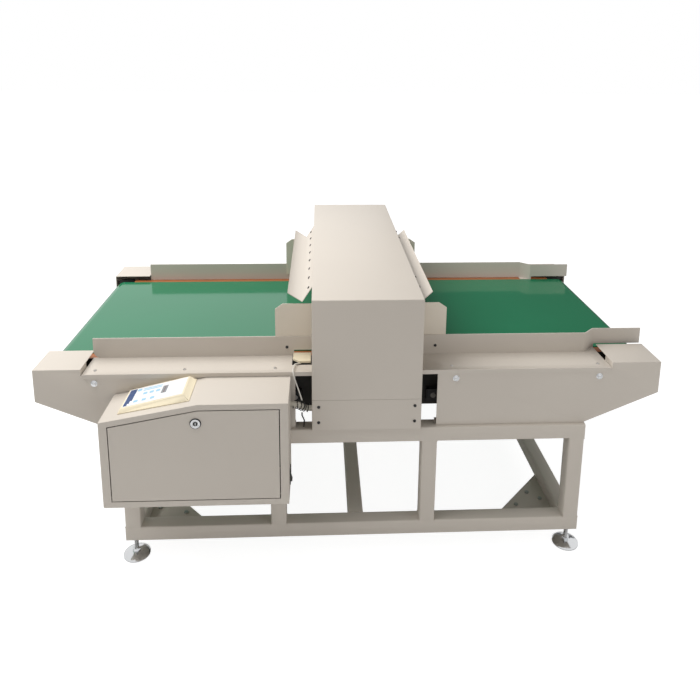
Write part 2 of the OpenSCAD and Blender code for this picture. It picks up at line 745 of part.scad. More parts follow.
// Head: a hood in the shape of a bridge, lower panels, posts and the two sensors
sensor_y = belt_width / 2;
module head_hood()
    color(white_paint) placed() difference() {
        plate_yz([
            [-head_front, seam_z], [-head_front, head_top], [head_rear, head_top], [head_rear, seam_z],
            [column_y, seam_z], [column_y, tunnel_z], [-column_y, tunnel_z], [-column_y, seam_z]
        ], head_x0, head_length);
        plate_yz([
            [sheet - head_front, seam_z - over], [sheet - head_front, head_top - sheet],
            [head_rear - sheet, head_top - sheet], [head_rear - sheet, seam_z - over],
            [column_y + sheet, seam_z - over], [column_y + sheet, tunnel_z + sheet],
            [-column_y - sheet, tunnel_z + sheet], [-column_y - sheet, seam_z - over]
        ], head_x0 + sheet, head_length - 2 * sheet);
        block([sensor_x0 - face_gap, -sensor_y - face_gap, tunnel_z - over],
              [sensor_x1 + face_gap, sensor_y + face_gap, tunnel_z + sheet + over]);
    }

module lower_panel(y0, y1)
    difference() {
        block([head_x0, y0, tray_z], [head_x1, y1, seam_z - face_gap]);
        block([head_x0 + sheet, y0 + sheet, tray_z - over], [head_x1 - sheet, y1 - sheet, seam_z]);
    }
module head_lower_panels()
    color(white_paint) placed() {
        lower_panel(-head_front, -column_y);
        lower_panel(column_y, head_rear);
    }

post_w = 30;
post_wall = 2.5;
module head_posts()
    color(steel) placed() both_sides() for (x = [head_x0 + sheet, head_x1 - sheet - post_w])
        hollow([x, -column_y - sheet - post_w, tray_z], [x + post_w, -column_y - sheet, head_top - sheet], post_wall);

module upper_sensor()
    color(cream_paint) placed()
        block([sensor_x0, -sensor_y, tunnel_z], [sensor_x1, sensor_y, head_top - sheet]);

ear_h = 22;
ear_drop = 40;
module lower_sensor()
    color(cream_paint) placed() {
        block([sensor_x0, -sensor_y, bed_top - lower_sensor_h], [sensor_x1, sensor_y, bed_top]);
        both_sides() for (x = [sensor_x0, sensor_x1 - ear_h])
            block([x, -web_y, bed_top - ear_drop - ear_h], [x + ear_h, -sensor_y, bed_top - ear_drop]);
    }

// Control box with a sloping top, a door in front and a lock in the door
box_x1 = head_x0 - box_gap;
box_x0 = box_x1 - box_width;
knee_x = box_x1 - box_flat;
door_side = 22;
door_low = 17;
door_high = 16;
door_gap = 2.5;
slope = atan(box_fall / (knee_x - box_x0));
hinge_in = 5;          // hinge axis behind the door's outer face
hinge_up = 10.5;       // hinge axis above the door's lower edge
pin_r = 2.5;
lug_w = 10;
lug_r = 4;
lug_gap = 2;
hinge_z = box_bottom + door_low + door_gap + hinge_up;
lock_left = 6;         // lock from the bend of the top
lock_drop = 52.5;      // lock below the top
lock_x = knee_x - lock_left;
lock_z = box_top - lock_drop;
function box_points(e) = [
    [box_x0 + e, box_bottom + e], [box_x1 - e, box_bottom + e], [box_x1 - e, box_top - e],
    [knee_x, box_top - e], [box_x0 + e, box_top - box_fall - e]
];
top_reach = 8;         // the box's top runs back this far beyond its rear wall
top_points = [
    [box_x0, box_top - box_fall - sheet], [knee_x, box_top - sheet], [box_x1, box_top - sheet],
    [box_x1, box_top], [knee_x, box_top], [box_x0, box_top - box_fall]
];
function door_points(e) = [
    [box_x0 + door_side + e, box_bottom + door_low + e], [box_x1 - door_side - e, box_bottom + door_low + e],
    [box_x1 - door_side - e, box_top - door_high - e], [knee_x, box_top - door_high - e],
    [box_x0 + door_side + e, box_top - door_high - box_fall * (knee_x - box_x0 - door_side) / (knee_x - box_x0) - e]
];
switch_back = 55;
switch_up = 50.5;
switch_y = box_front - switch_back;
switch_z = box_bottom + switch_up;
switch_w = 21;
switch_h = 40;
switch_wall = 1.2;
switch_in = 16;
bezel = 2.5;
bezel_t = 2.5;
// the hinge is two pins on the door's lower corners, which turn in lugs behind the box's front
module hinge_pin(r) translate([box_x0 + door_side - lug_gap - lug_w, hinge_in - box_front, hinge_z]) rotate([0, 90, 0])
    cylinder(r = r, h = 2 * lug_w + 2 * lug_gap + door_gap, $fn = fine);
module at_both_ends() {
    children();
    translate([box_x0 + box_x1, 0, 0]) mirror([1, 0, 0]) children();
}
module control_box()
    color(white_paint) placed() difference() {
        union() {
            difference() {
                plate_xz(box_points(0), -box_front, box_depth);
                plate_xz(box_points(sheet), sheet - box_front, box_depth - 2 * sheet);
            }
            plate_xz(top_points, -stand_y - sheet, sheet + top_reach);
            at_both_ends() block([box_x0 + door_side - lug_gap - lug_w, sheet / 2 - box_front, hinge_z - lug_r],
                                 [box_x0 + door_side - lug_gap, hinge_in + lug_r - box_front, hinge_z + lug_r]);
        }
        at_both_ends() hinge_pin(pin_r + fit);
        plate_xz(door_points(0), -box_front - over, sheet + 2 * over);
        block([box_x1 - sheet - over, -switch_y - switch_w / 2 - hole_gap, switch_z - switch_h / 2 - hole_gap],
              [box_x1 + over, -switch_y + switch_w / 2 + hole_gap, switch_z + switch_h / 2 + hole_gap]);
    }
module box_door()
    color(white_paint) placed() {
        difference() {
            plate_xz(door_points(door_gap), -box_front, sheet);
            bar_y(lock_x, lock_z, lock_r + fit, -box_front - over, sheet + over - box_front);
        }
        at_both_ends() {
            block([box_x0 + door_side + door_gap + lug_gap, sheet / 2 - box_front, hinge_z - lug_r],
                  [box_x0 + door_side + door_gap + lug_gap + lug_w, hinge_in + lug_r - box_front, hinge_z + lug_r]);
            hinge_pin(pin_r);
        }
    }

lock_ring_r = 15;
lock_depth = 12;
tongue_l = 40;
tongue_w = 16;
tongue_t = 2.5;
tongue_gap = 1;        // tongue behind the door's sheet
module cam_lock()
    color(chrome) placed() {
        bar_y(lock_x, lock_z, lock_ring_r, -lock_front, -box_front - run_gap);
        bar_y(lock_x, lock_z, lock_r, -box_front - run_gap - over, lock_depth - box_front);
        block([lock_x - tongue_l, sheet + tongue_gap - box_front, lock_z - tongue_w / 2],
              [lock_x + lock_r / 2, sheet + tongue_gap + tongue_t - box_front, lock_z + tongue_w / 2]);
    }

// Keypad on the sloping top: a foot plate and a wedge-shaped housing that is higher at its upper end
keypad_in = 26;
keypad_foot = 2.5;
keypad_rim = 1.5;
keypad_end_low = 6;
keypad_end_high = 14;
keypad_side = 9;
keypad_over = 7;       // the housing reaches this far over the frame's front
overlay_edge = 4;
keypad_back = stand_y - keypad_over;
keypad_top_l = keypad_l - keypad_end_low - keypad_end_high;
keypad_wedge = atan((keypad_h - keypad_low) / keypad_top_l);
module on_slope() translate([knee_x, 0, box_top]) rotate([0, -slope, 0]) children();
module on_keypad() on_slope() translate([-keypad_in - keypad_end_high, 0, keypad_h]) rotate([0, -keypad_wedge, 0]) children();
module keypad_housing()
    color(cream_paint) placed() on_slope() {
        block([-keypad_in - keypad_l, -keypad_back - keypad_w, 0], [-keypad_in, -keypad_back, keypad_foot]);
        hull() {
            block([keypad_rim - keypad_in - keypad_l, keypad_rim - keypad_back - keypad_w, keypad_foot - over],
                  [-keypad_rim - keypad_in, -keypad_rim - keypad_back, keypad_foot]);
            translate([0, -keypad_back - keypad_side, 0]) rotate([90, 0, 0]) linear_extrude(keypad_w - 2 * keypad_side) polygon([
                [-keypad_in - keypad_l + keypad_end_low, keypad_foot - over], [-keypad_in - keypad_end_high, keypad_foot - over],
                [-keypad_in - keypad_end_high, keypad_h], [-keypad_in - keypad_l + keypad_end_low, keypad_low]
            ]);
        }
    }
module keypad_overlay()
    color([0.93, 0.93, 0.92]) placed() on_keypad()
        block([overlay_edge - keypad_top_l, overlay_edge + keypad_side - keypad_back - keypad_w, 0],
              [-overlay_edge, -overlay_edge - keypad_side - keypad_back, line_t]);

// Boards, supply and sensor electronics: plates on spacers against the walls
board_t = 1.6;
spacer = 8;
spacer_r = 3;
supply_h = 40;
board_w = 200;
board_h = 130;
board_edge = 8;
supply_w = 160;
supply_low = 30;
chassis = [220, 130, 210];
module electronics()
    color([0.16, 0.36, 0.24]) placed() {
        board_x = knee_x + board_edge;
        board_z = box_bottom + door_low + board_edge;
        block([board_x, -stand_y - sheet - spacer - board_t, board_z],
              [board_x + board_w, -stand_y - sheet - spacer, board_z + board_h]);
        for (x = [board_x + board_edge, board_x + board_w - board_edge], z = [board_z + board_edge, board_z + board_h - board_edge])
            bar_y(x, z, spacer_r, -stand_y - sheet - spacer, -stand_y - sheet);
        block([knee_x - board_edge - supply_w, -stand_y - sheet - supply_h, box_bottom + supply_low],
              [knee_x - board_edge, -stand_y - sheet, box_bottom + 3 * supply_low]);
        block([head_shift - chassis[0] / 2, head_rear - sheet - chassis[1], tray_z],
              [head_shift + chassis[0] / 2, head_rear - sheet, tray_z + chassis[2]]);
    }

// Rocker switch in the box's right side
rocker_h = 16.5;
rocker_w = 17.9;
rocker_tilt = 8;
rocker_end = 5.5;
rocker_mid = 3;
pivot_r = 1.5;
pivot_out = 0.9;
pivot_in = 1;
pivot_x = box_x1 - pivot_in;
module rocker_switch()
    color(dark) placed() difference() {
        union() {
            block([box_x1, -switch_y - switch_w / 2 - bezel, switch_z - switch_h / 2 - bezel],
                  [box_x1 + bezel_t, -switch_y + switch_w / 2 + bezel, switch_z + switch_h / 2 + bezel]);
            block([box_x1 - switch_in, -switch_y - switch_w / 2, switch_z - switch_h / 2],
                  [box_x1, -switch_y + switch_w / 2, switch_z + switch_h / 2]);
        }
        block([box_x1 - switch_in + switch_wall, -switch_y - switch_w / 2 + switch_wall, switch_z - switch_h / 2 + switch_wall],
              [box_x1 + bezel_t + over, -switch_y + switch_w / 2 - switch_wall, switch_z + switch_h / 2 - switch_wall]);
        bar_y(pivot_x, switch_z, pivot_r + fit, -switch_y - rocker_w / 2 - pivot_out - fit, -switch_y + rocker_w / 2 + pivot_out + fit);
    }
module rocker_key()
    color(dark) placed() {
        translate([pivot_x, -switch_y - rocker_w / 2, switch_z]) rotate([0, -rocker_tilt, 0]) plate_xz([
            [-rocker_end, -rocker_h / 2], [rocker_mid, -rocker_h], [rocker_end, -rocker_h], [rocker_mid, 0],
            [rocker_end, rocker_h], [rocker_mid, rocker_h], [-rocker_end, rocker_h / 2]
        ], 0, rocker_w);
        bar_y(pivot_x, switch_z, pivot_r, -switch_y - rocker_w / 2 - pivot_out, -switch_y + rocker_w / 2 + pivot_out);
    }

// Photocell behind the notch in the left front guide: a flat lid with one cut corner on a darker body
cell_left = head_x0 - cell_gap - cell_l;
module cell_outline(e) polygon([
    [e, 0], [e, cell_corner - cell_t + e / 2], [cell_corner + e / 2, e - cell_t], [cell_l - e, e - cell_t], [cell_l - e, 0]
]);
module photocell()
    color(cream_paint) placed() translate([cell_left, -web_out, belt_top]) {
        translate([0, 0, cell_up - cell_lid]) linear_extrude(cell_lid) cell_outline(0);
        translate([0, 0, -cell_drop]) linear_extrude(cell_drop + cell_up - cell_lid) cell_outline(cell_rim);
    }

// Cable loom from the control box to the head: a round core in a spiral wrap, the photocell's lead
// that comes down to it and a second lead from its underside to the frame
loom_box_in = 120;
loom_box_drop = 72;
loom_head_in = 17;
loom_head_rise = 60;
loom_a = [box_x1, loom_box_in - box_front, box_top - loom_box_drop];
loom_b = [head_x0, loom_head_in - head_front, tray_z + loom_head_rise];
core_r = 8.6;
wrap_r = 11.2;
wrap_tube = 1.3;
wrap_turns = 7;
wrap_rings = 8;
core_rings = 26;
lead_r = 2;
lead_sides = 8;
lead_in = 4;
lead_up = 1;
lead_end_t = 0.55;
lead_off = 1.5 * (wrap_r + wrap_tube) + 0.5;   // the leads end this far from the loom's middle
frame_lead_x = 24;
frame_lead_in = 16;
loom_side = [0, loom_b[1] - loom_a[1], loom_b[2] - loom_a[2]];
side_len = norm(loom_side);
side_dir = loom_side / side_len;
run_len = loom_b[0] - loom_a[0];
bend = 2 * atan2(side_len, run_len);
bend_r = run_len / (2 * sin(bend));
loom_bi = cross([1, 0, 0], side_dir);
// middle line of the loom: two equal arcs, level where it leaves the box and where it enters the head
function loom_u(t) = t < 0.5 ? bend_r * sin(2 * t * bend) : run_len - bend_r * sin(2 * (1 - t) * bend);
function loom_v(t) = t < 0.5 ? bend_r * (1 - cos(2 * t * bend)) : side_len - bend_r * (1 - cos(2 * (1 - t) * bend));
function loom_turn(t) = t < 0.5 ? 2 * t * bend : 2 * (1 - t) * bend;
function loom_p(t) = loom_a + [loom_u(t), 0, 0] + side_dir * loom_v(t);
function loom_n(t) = -sin(loom_turn(t)) * [1, 0, 0] + cos(loom_turn(t)) * side_dir;
function wrap_p(t) = loom_p(t) + wrap_r * (cos(wrap_turns * 360 * t) * loom_n(t) + sin(wrap_turns * 360 * t) * loom_bi);
// the photocell's lead: from the cell's front, over the rail plate and its lip, down to the loom
lead_a = [cell_left + cell_corner + lead_in, cell_rim - web_out - cell_t, belt_top + lead_up];
lead_b = loom_p(lead_end_t) + [0, 0, lead_off];
lip_y = -cover_y - lip_t;
lip_top = belt_top + lip_h;
lead_over = 4.5;       // middle of the lead over the lip
lead_out = 7;          // middle of the lead before and behind the lip
lead_side = 3;         // middle of the lead from the photocell's left side where it crosses the lip
lead_route = [
    lead_a,
    lead_a + [-lead_in / 2, -lead_in, lead_over / 2],
    [cell_left + 2.5 * lead_side, lead_a[1] - 2 * lead_out, lip_top + lead_over - lead_up],
    [cell_left + lead_side, (lead_a[1] - 2 * lead_out + lip_y + lead_out) / 2, lip_top + lead_over],
    [cell_left + lead_side, lip_y + lead_out, lip_top + lead_over],
    [cell_left + lead_side, lip_y - lead_out / 2, lip_top + lead_out / 2],
    [cell_left + 1.5 * lead_side, lip_y - lead_out, lip_top - lead_out],
    [cell_left + 3.5 * lead_side, lip_y - lead_out, lip_top - 4 * lead_out],
    [cell_left + 6 * lead_side, lip_y - 1.3 * lead_out, lip_top - 7 * lead_out],
    lead_b
];
// the lead to the frame: from the loom down to the front top rail
frame_lead = [
    loom_p(lead_end_t) - [0, 0, lead_off],
    loom_p(lead_end_t) + [0, lead_out / 2, -3.5 * core_r],
    [head_x0 - frame_lead_x + lead_r, frame_lead_in - stand_y - lead_r, stand_top + 2.5 * core_r],
    [head_x0 - frame_lead_x, frame_lead_in - stand_y, stand_top]
];
function unit(v) = v / norm(v);
function along(p, i) = unit(p[min(i + 1, len(p) - 1)] - p[max(i - 1, 0)]);
function ring(c, t, ref, r, sides) = let (a = unit(cross(t, ref)), b = cross(t, a))
    [for (k = [0:sides - 1]) c + r * (cos(360 * k / sides) * a + sin(360 * k / sides) * b)];
// a closed tube through the points p, turned by the directions refs
module sweep(p, refs, r, sides, ends) {
    rings = [for (i = [0:len(p) - 1])
        ring(p[i], i == 0 ? ends[0] : i == len(p) - 1 ? ends[1] : along(p, i), refs[i], r, sides)];
    last = (len(p) - 1) * sides;
    polyhedron(
        [for (q = rings, v = q) v],
        concat(
            [for (k = [1:sides - 2]) [0, k + 1, k]],
            [for (k = [1:sides - 2]) [last, last + k, last + k + 1]],
            [for (i = [0:len(p) - 2], k = [0:sides - 1]) let (a = i * sides + k, b = i * sides + (k + 1) % sides)
                each [[a, b, b + sides], [a, b + sides, a + sides]]]
        )
    );
}
module cable_loom() {
    core = [for (i = [0:core_rings]) loom_p(i / core_rings)];
    count = wrap_turns * wrap_rings;
    start_share = 0.09;
    ts = [for (i = [0:count]) start_share + (1 - 2 * start_share) * i / count];
    wrap = [for (t = ts) wrap_p(t)];
    color([0.2, 0.2, 0.2]) placed() {
        sweep(core, [for (p = core) loom_bi], core_r, lead_sides, [[1, 0, 0], [1, 0, 0]]);
        sweep(wrap, [for (t = ts) wrap_p(t) - loom_p(t)], wrap_tube, lead_sides - 2, [along(wrap, 0), along(wrap, count)]);
        sweep(lead_route, [for (p = lead_route) [1, 0, 1]], lead_r, lead_sides, [[0, -1, 0], [0, 0, -1]]);
        sweep(frame_lead, [for (p = frame_lead) [1, 0, 0]], lead_r, lead_sides, [[0, 0, -1], [0, 0, -1]]);
    }
}
// least way between two turns of the wrap, printed to show that the tube keeps clear of itself
echo(wrap_clearance = min([for (t = [0.12:0.02:0.72]) norm(wrap_p(t) - wrap_p(t + 1 / wrap_turns))]) - 2 * wrap_tube);

// Small screws: rail plates, guides, lower front panel and flaps
head_r = 4.5;
head_t = 2.5;
panel_in = 19;
panel_screw_z = [437, 485];
guide_screw_out = 75;
guide_screw_rise = 27;
guide_screw_z = belt_top + guide_screw_rise;
flap_screws = 8;
flap_row_share = 0.9;
flap_screw_share = 0.33;
module flap_screw_row(reach, share) {
    fall = steep(reach, share);
    for (i = [0:flap_screws - 1])
        translate([reach * share * flap_screw_share, web_y * flap_row_share * (2 * i / (flap_screws - 1) - 1),
                   flap_top + fall * reach * share * flap_screw_share])
            rotate([0, atan(-fall), 0]) translate([0, 0, flap_t]) cylinder(r = head_r, h = head_t, $fn = fine);
}
module small_screws()
    color(dark) placed() {
        both_sides() for (x = rail_screws) translate([x, -rail_screw_y, belt_top]) {
            cylinder(r = head_r, h = head_t, $fn = fine);
            translate([0, 0, -2 * sheet]) cylinder(r = screw_r, h = 2 * sheet, $fn = fine);
        }
        for (x = [head_x0 + panel_in, head_x1 - panel_in], z = panel_screw_z)
            bar_y(x, z, head_r, -head_front - head_t, -head_front);
        both_sides() for (x = [head_x0 - guide_screw_out, head_x1 + guide_screw_out - panel_in])
            bar_y(x, guide_screw_z, head_r, -web_out - head_t, -web_out);
        translate([head_x1, 0, 0]) flap_screw_row(flap_right, fold_share_right);
        translate([head_x0, 0, 0]) mirror([1, 0, 0]) flap_screw_row(flap_left, fold_share_left);
    }

stand_bottom_rails();
stand_top_rails();
stand_legs();
stand_cross_tubes();
levelling_foot_fl();
levelling_foot_fr();
levelling_foot_rl();
levelling_foot_rr();
castor_plates();
castor_mounts();
castor_bolts();
castor_fork_fl();
castor_fork_fr();
castor_fork_rl();
castor_fork_rr();
castor_wheel_fl();
castor_wheel_fr();
castor_wheel_rl();
castor_wheel_rr();
base_tray();
side_plates();
bed_cross_members();
slide_beds();
conveyor_belt();
drive_roller();
tail_roller();
snub_roller_left();
snub_roller_right();
roller_bearings();
belt_tensioners();
gear_motor();
motor_pulley();
drive_belt();
side_cover_front_left();
side_cover_front_right();
side_cover_rear_left();
side_cover_rear_right();
rail_plates_front();
rail_plates_rear();
guide_plates_front();
guide_plates_rear();
tunnel_wings();
tunnel_flaps();
head_hood();
head_lower_panels();
head_posts();
upper_sensor();
lower_sensor();
control_box();
box_door();
cam_lock();
keypad_housing();
keypad_overlay();
electronics();
rocker_switch();
rocker_key();
photocell();
cable_loom();
cover_bolts();
small_screws();
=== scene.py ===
import json
import math

import bmesh
import bpy
from mathutils import Matrix, Vector


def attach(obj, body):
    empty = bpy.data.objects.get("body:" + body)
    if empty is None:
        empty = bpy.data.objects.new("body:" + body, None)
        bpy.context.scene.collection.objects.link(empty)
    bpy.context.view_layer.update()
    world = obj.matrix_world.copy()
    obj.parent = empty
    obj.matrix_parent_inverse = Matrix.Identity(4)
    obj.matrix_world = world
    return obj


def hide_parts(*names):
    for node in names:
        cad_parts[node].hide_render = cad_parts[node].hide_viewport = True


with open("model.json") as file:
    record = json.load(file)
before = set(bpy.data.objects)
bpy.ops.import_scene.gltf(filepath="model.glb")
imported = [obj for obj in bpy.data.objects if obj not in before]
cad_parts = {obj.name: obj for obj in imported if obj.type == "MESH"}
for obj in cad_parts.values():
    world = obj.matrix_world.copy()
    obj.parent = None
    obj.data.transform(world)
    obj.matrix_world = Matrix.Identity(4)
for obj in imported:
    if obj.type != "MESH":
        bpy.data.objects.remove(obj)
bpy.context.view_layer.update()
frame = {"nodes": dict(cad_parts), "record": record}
MM = 0.001

# Camera
# The viewpoint is in front of the machine and a little left of its head, looking slightly down. The
# picture was cropped below its middle, which the vertical shift repeats. Places are in millimetres here.
BELT_MIDDLE_Y = -34.2
CAMERA_PLACE = Vector((-96.2, -2132.2 + BELT_MIDDLE_Y, 1478.1)) * MM
CAMERA_YAW, CAMERA_PITCH, CAMERA_ROLL = (math.radians(a) for a in (2.7395, 11.562, -0.5192))
LENS_LENGTH = 33.436
FILM_WIDTH = 36
CROP_SHIFT = -0.24
VIEW_REACH = 60
forward = Vector((
    math.sin(CAMERA_YAW) * math.cos(CAMERA_PITCH),
    math.cos(CAMERA_YAW) * math.cos(CAMERA_PITCH),
    -math.sin(CAMERA_PITCH),
))
level_right = Vector((math.cos(CAMERA_YAW), -math.sin(CAMERA_YAW), 0))
level_down = forward.cross(level_right)
right = math.cos(CAMERA_ROLL) * level_right + math.sin(CAMERA_ROLL) * level_down
down = -math.sin(CAMERA_ROLL) * level_right + math.cos(CAMERA_ROLL) * level_down
camera_data = bpy.data.cameras.new("camera")
camera_data.lens = LENS_LENGTH
camera_data.sensor_width = FILM_WIDTH
camera_data.shift_y = CROP_SHIFT
camera_data.clip_end = VIEW_REACH
camera = bpy.data.objects.new("camera", camera_data)
camera_turn = Matrix((right, -down, -forward)).transposed().to_4x4()
camera.matrix_world = Matrix.Translation(CAMERA_PLACE) @ camera_turn
bpy.context.scene.collection.objects.link(camera)
bpy.context.scene.camera = camera
bpy.context.scene.view_settings.view_transform = "Standard"

# Studio
# A pale floor runs out to a white surround. One broad lamp hangs over the belt, a second fills the
# front, and a dark card at the back right keeps that half of the belt from mirroring the surround. The
# studio's sizes and places are in metres.
WHITE = (1.0, 1.0, 1.0, 1.0)
SKY_LEVEL = 0.41
FLOOR_SIZE = 40
FLOOR_COLOUR = (0.93, 0.93, 0.93, 1)
FLOOR_ROUGHNESS = 0.9
FLOOR_GLOW = 1.48
FLOOR_GLOW_SHARE = 0.6
CARD_SIZE = (2.9, 2.4)
CARD_PLACE = (2.12, 3.2, 1.55)
CARD_COLOUR = (0.02, 0.02, 0.02, 1)
CARD_GLOW = 0.10


def add_object(name, mesh):
    piece = bpy.data.objects.new(name, mesh)
    bpy.context.scene.collection.objects.link(piece)
    return piece


def flat_sheet(name, size_x, size_y):
    mesh = bpy.data.meshes.new(name)
    x, y = size_x / 2, size_y / 2
    mesh.from_pydata([(-x, -y, 0), (x, -y, 0), (x, y, 0), (-x, y, 0)], [], [(0, 1, 2, 3)])
    return add_object(name, mesh)


def soft_lamp(name, place, target, size, watts):
    """A broad lamp that shines on its target and isn't mirrored in gloss."""
    data = bpy.data.lights.new(name, "AREA")
    data.shape = "RECTANGLE"
    data.size, data.size_y = size
    data.energy = watts
    lamp = bpy.data.objects.new(name, data)
    lamp.location = place
    lamp.rotation_euler = (Vector(target) - Vector(place)).to_track_quat("-Z", "Y").to_euler()
    bpy.context.scene.collection.objects.link(lamp)
    lamp.visible_glossy = False


world = bpy.data.worlds.new("studio")
bpy.context.scene.world = world
world.use_nodes = True
tree = world.node_tree
sky = tree.nodes["Background"]
sky.inputs["Color"].default_value = WHITE
sky.inputs["Strength"].default_value = SKY_LEVEL
backdrop = tree.nodes.new("ShaderNodeBackground")
backdrop.inputs["Color"].default_value = WHITE
rays = tree.nodes.new("ShaderNodeLightPath")
seen = tree.nodes.new("ShaderNodeMath")
seen.operation = "MAXIMUM"
tree.links.new(rays.outputs["Is Camera Ray"], seen.inputs[0])
tree.links.new(rays.outputs["Is Glossy Ray"], seen.inputs[1])
choose = tree.nodes.new("ShaderNodeMixShader")
tree.links.new(seen.outputs[0], choose.inputs[0])
tree.links.new(sky.outputs[0], choose.inputs[1])
tree.links.new(backdrop.outputs[0], choose.inputs[2])
tree.links.new(choose.outputs[0], tree.nodes["World Output"].inputs["Surface"])

floor = flat_sheet("floor", FLOOR_SIZE, FLOOR_SIZE)
floor_look = bpy.data.materials.new("floor_white")
floor_look.use_nodes = True
tree = floor_look.node_tree
floor_shader = tree.nodes["Principled BSDF"]
floor_shader.inputs["Base Color"].default_value = FLOOR_COLOUR
floor_shader.inputs["Roughness"].default_value = FLOOR_ROUGHNESS
glow = tree.nodes.new("ShaderNodeEmission")
glow.inputs["Strength"].default_value = FLOOR_GLOW
rays = tree.nodes.new("ShaderNodeLightPath")
share = tree.nodes.new("ShaderNodeMath")
share.operation = "MULTIPLY"
share.inputs[1].default_value = FLOOR_GLOW_SHARE
choose = tree.nodes.new("ShaderNodeMixShader")
tree.links.new(rays.outputs["Is Camera Ray"], share.inputs[0])
tree.links.new(share.outputs[0], choose.inputs[0])
tree.links.new(floor_shader.outputs[0], choose.inputs[1])
tree.links.new(glow.outputs[0], choose.inputs[2])
tree.links.new(choose.outputs[0], tree.nodes["Material Output"].inputs["Surface"])
floor.data.materials.append(floor_look)

card = flat_sheet("dark_card", *CARD_SIZE)
card.matrix_world = Matrix.Translation(CARD_PLACE) @ Matrix.Rotation(math.radians(90), 4, "X")
card_look = bpy.data.materials.new("dark_card")
card_look.use_nodes = True
card_shader = card_look.node_tree.nodes["Principled BSDF"]
card_shader.inputs["Base Color"].default_value = CARD_COLOUR
card_shader.inputs["Roughness"].default_value = 1.0
card_shader.inputs["Emission Color"].default_value = WHITE
card_shader.inputs["Emission Strength"].default_value = CARD_GLOW
card.data.materials.append(card_look)
card.visible_camera = False
card.visible_diffuse = False
card.visible_shadow = False

soft_lamp("top_lamp", place=(-1.35, 0.1, 2.75), target=(-0.25, 0, 0.5), size=(2.8, 2.2), watts=84.0)
soft_lamp("front_lamp", place=(2.3, -2.0, 1.1), target=(0.3, 0, 0.45), size=(1.6, 1.2), watts=11.0)

# Painted sheet and tube
# The frame, the covers, the hood, the control box and its door are folded steel sheet and square tube,
# sprayed with a fine textured powder coat in a warm light grey. Folded edges are slightly round.
BODY_OF = {
    node: body for body, nodes in frame["record"]["behaviour"]["bodies"].items() for node in nodes
}
FOLD_RADIUS = 2.2 * MM
CUT_RADIUS = 0.5 * MM
TUBE_RADIUS = 4.5 * MM
SHARP = 0.0
ROUND_STEPS = 3
THIN_EDGE = 4.5 * MM
TUBE_END = 60 * MM
LEAST_FOLD = math.radians(12)
MERGE_DISTANCE = 0.004 * MM
FLAT_ANGLE = math.radians(0.4)
SMOOTH_ANGLE = math.radians(32)
GRAIN_DETAIL = 2.0
CLOUD_DETAIL = 3.0
GRAIN_DEPTH = 0.3 * MM
LEAST_ROUGHNESS = 0.02


def coat_group():
    """The fine uneven surface of a coat or a moulding: a height for bumps and a slow change of shade."""
    group = bpy.data.node_groups.new("surface_grain", "ShaderNodeTree")
    for name in ("Grain Scale", "Cloud Scale"):
        group.interface.new_socket(name, in_out="INPUT", socket_type="NodeSocketFloat")
    for name in ("Height", "Cloud"):
        group.interface.new_socket(name, in_out="OUTPUT", socket_type="NodeSocketFloat")
    source = group.nodes.new("NodeGroupInput")
    out = group.nodes.new("NodeGroupOutput")
    place = group.nodes.new("ShaderNodeTexCoord")
    for scale, detail, result in (
        ("Grain Scale", GRAIN_DETAIL, "Height"),
        ("Cloud Scale", CLOUD_DETAIL, "Cloud"),
    ):
        noise = group.nodes.new("ShaderNodeTexNoise")
        noise.inputs["Detail"].default_value = detail
        group.links.new(place.outputs["Object"], noise.inputs["Vector"])
        group.links.new(source.outputs[scale], noise.inputs["Scale"])
        group.links.new(noise.outputs["Fac"], out.inputs[result])
    return group


GRAIN = coat_group()


def finish(name, colour, shade, roughness, metal=0.0, grain=900.0, cloud=3.0, bump=0.08, spread=0.06):
    """A material whose colour and gloss drift slowly and whose surface carries a fine grain. Its colour
    lies between colour and shade, its roughness within the spread, and grain and cloud are the scales."""
    look = bpy.data.materials.new(name)
    look.use_nodes = True
    nodes, links = look.node_tree.nodes, look.node_tree.links
    shader = nodes["Principled BSDF"]
    shader.inputs["Metallic"].default_value = metal
    surface = nodes.new("ShaderNodeGroup")
    surface.node_tree = GRAIN
    surface.inputs["Grain Scale"].default_value = grain
    surface.inputs["Cloud Scale"].default_value = cloud
    tint = nodes.new("ShaderNodeMix")
    tint.data_type = "RGBA"
    tint.inputs["A"].default_value = (*shade, 1)
    tint.inputs["B"].default_value = (*colour, 1)
    links.new(surface.outputs["Cloud"], tint.inputs["Factor"])
    links.new(tint.outputs["Result"], shader.inputs["Base Color"])
    gloss = nodes.new("ShaderNodeMapRange")
    gloss.inputs["To Min"].default_value = max(roughness - spread, LEAST_ROUGHNESS)
    gloss.inputs["To Max"].default_value = roughness + spread
    links.new(surface.outputs["Cloud"], gloss.inputs["Value"])
    links.new(gloss.outputs["Result"], shader.inputs["Roughness"])
    relief = nodes.new("ShaderNodeBump")
    relief.inputs["Strength"].default_value = bump
    relief.inputs["Distance"].default_value = GRAIN_DEPTH
    links.new(surface.outputs["Height"], relief.inputs["Height"])
    links.new(relief.outputs["Normal"], shader.inputs["Normal"])
    return look


PAINT = finish("powder_coat_grey", (0.600, 0.546, 0.480), (0.560, 0.507, 0.444), 0.44, bump=0.14)
CREAM_PAINT = finish("powder_coat_cream", (0.740, 0.670, 0.565), (0.700, 0.632, 0.530), 0.42, bump=0.12)


def join_faces(work):
    """Merges the loose triangles of a CAD node and joins those that lie in one plane."""
    bmesh.ops.remove_doubles(work, verts=work.verts, dist=MERGE_DISTANCE)
    bmesh.ops.dissolve_limit(work, angle_limit=FLAT_ANGLE, verts=work.verts, edges=work.edges)


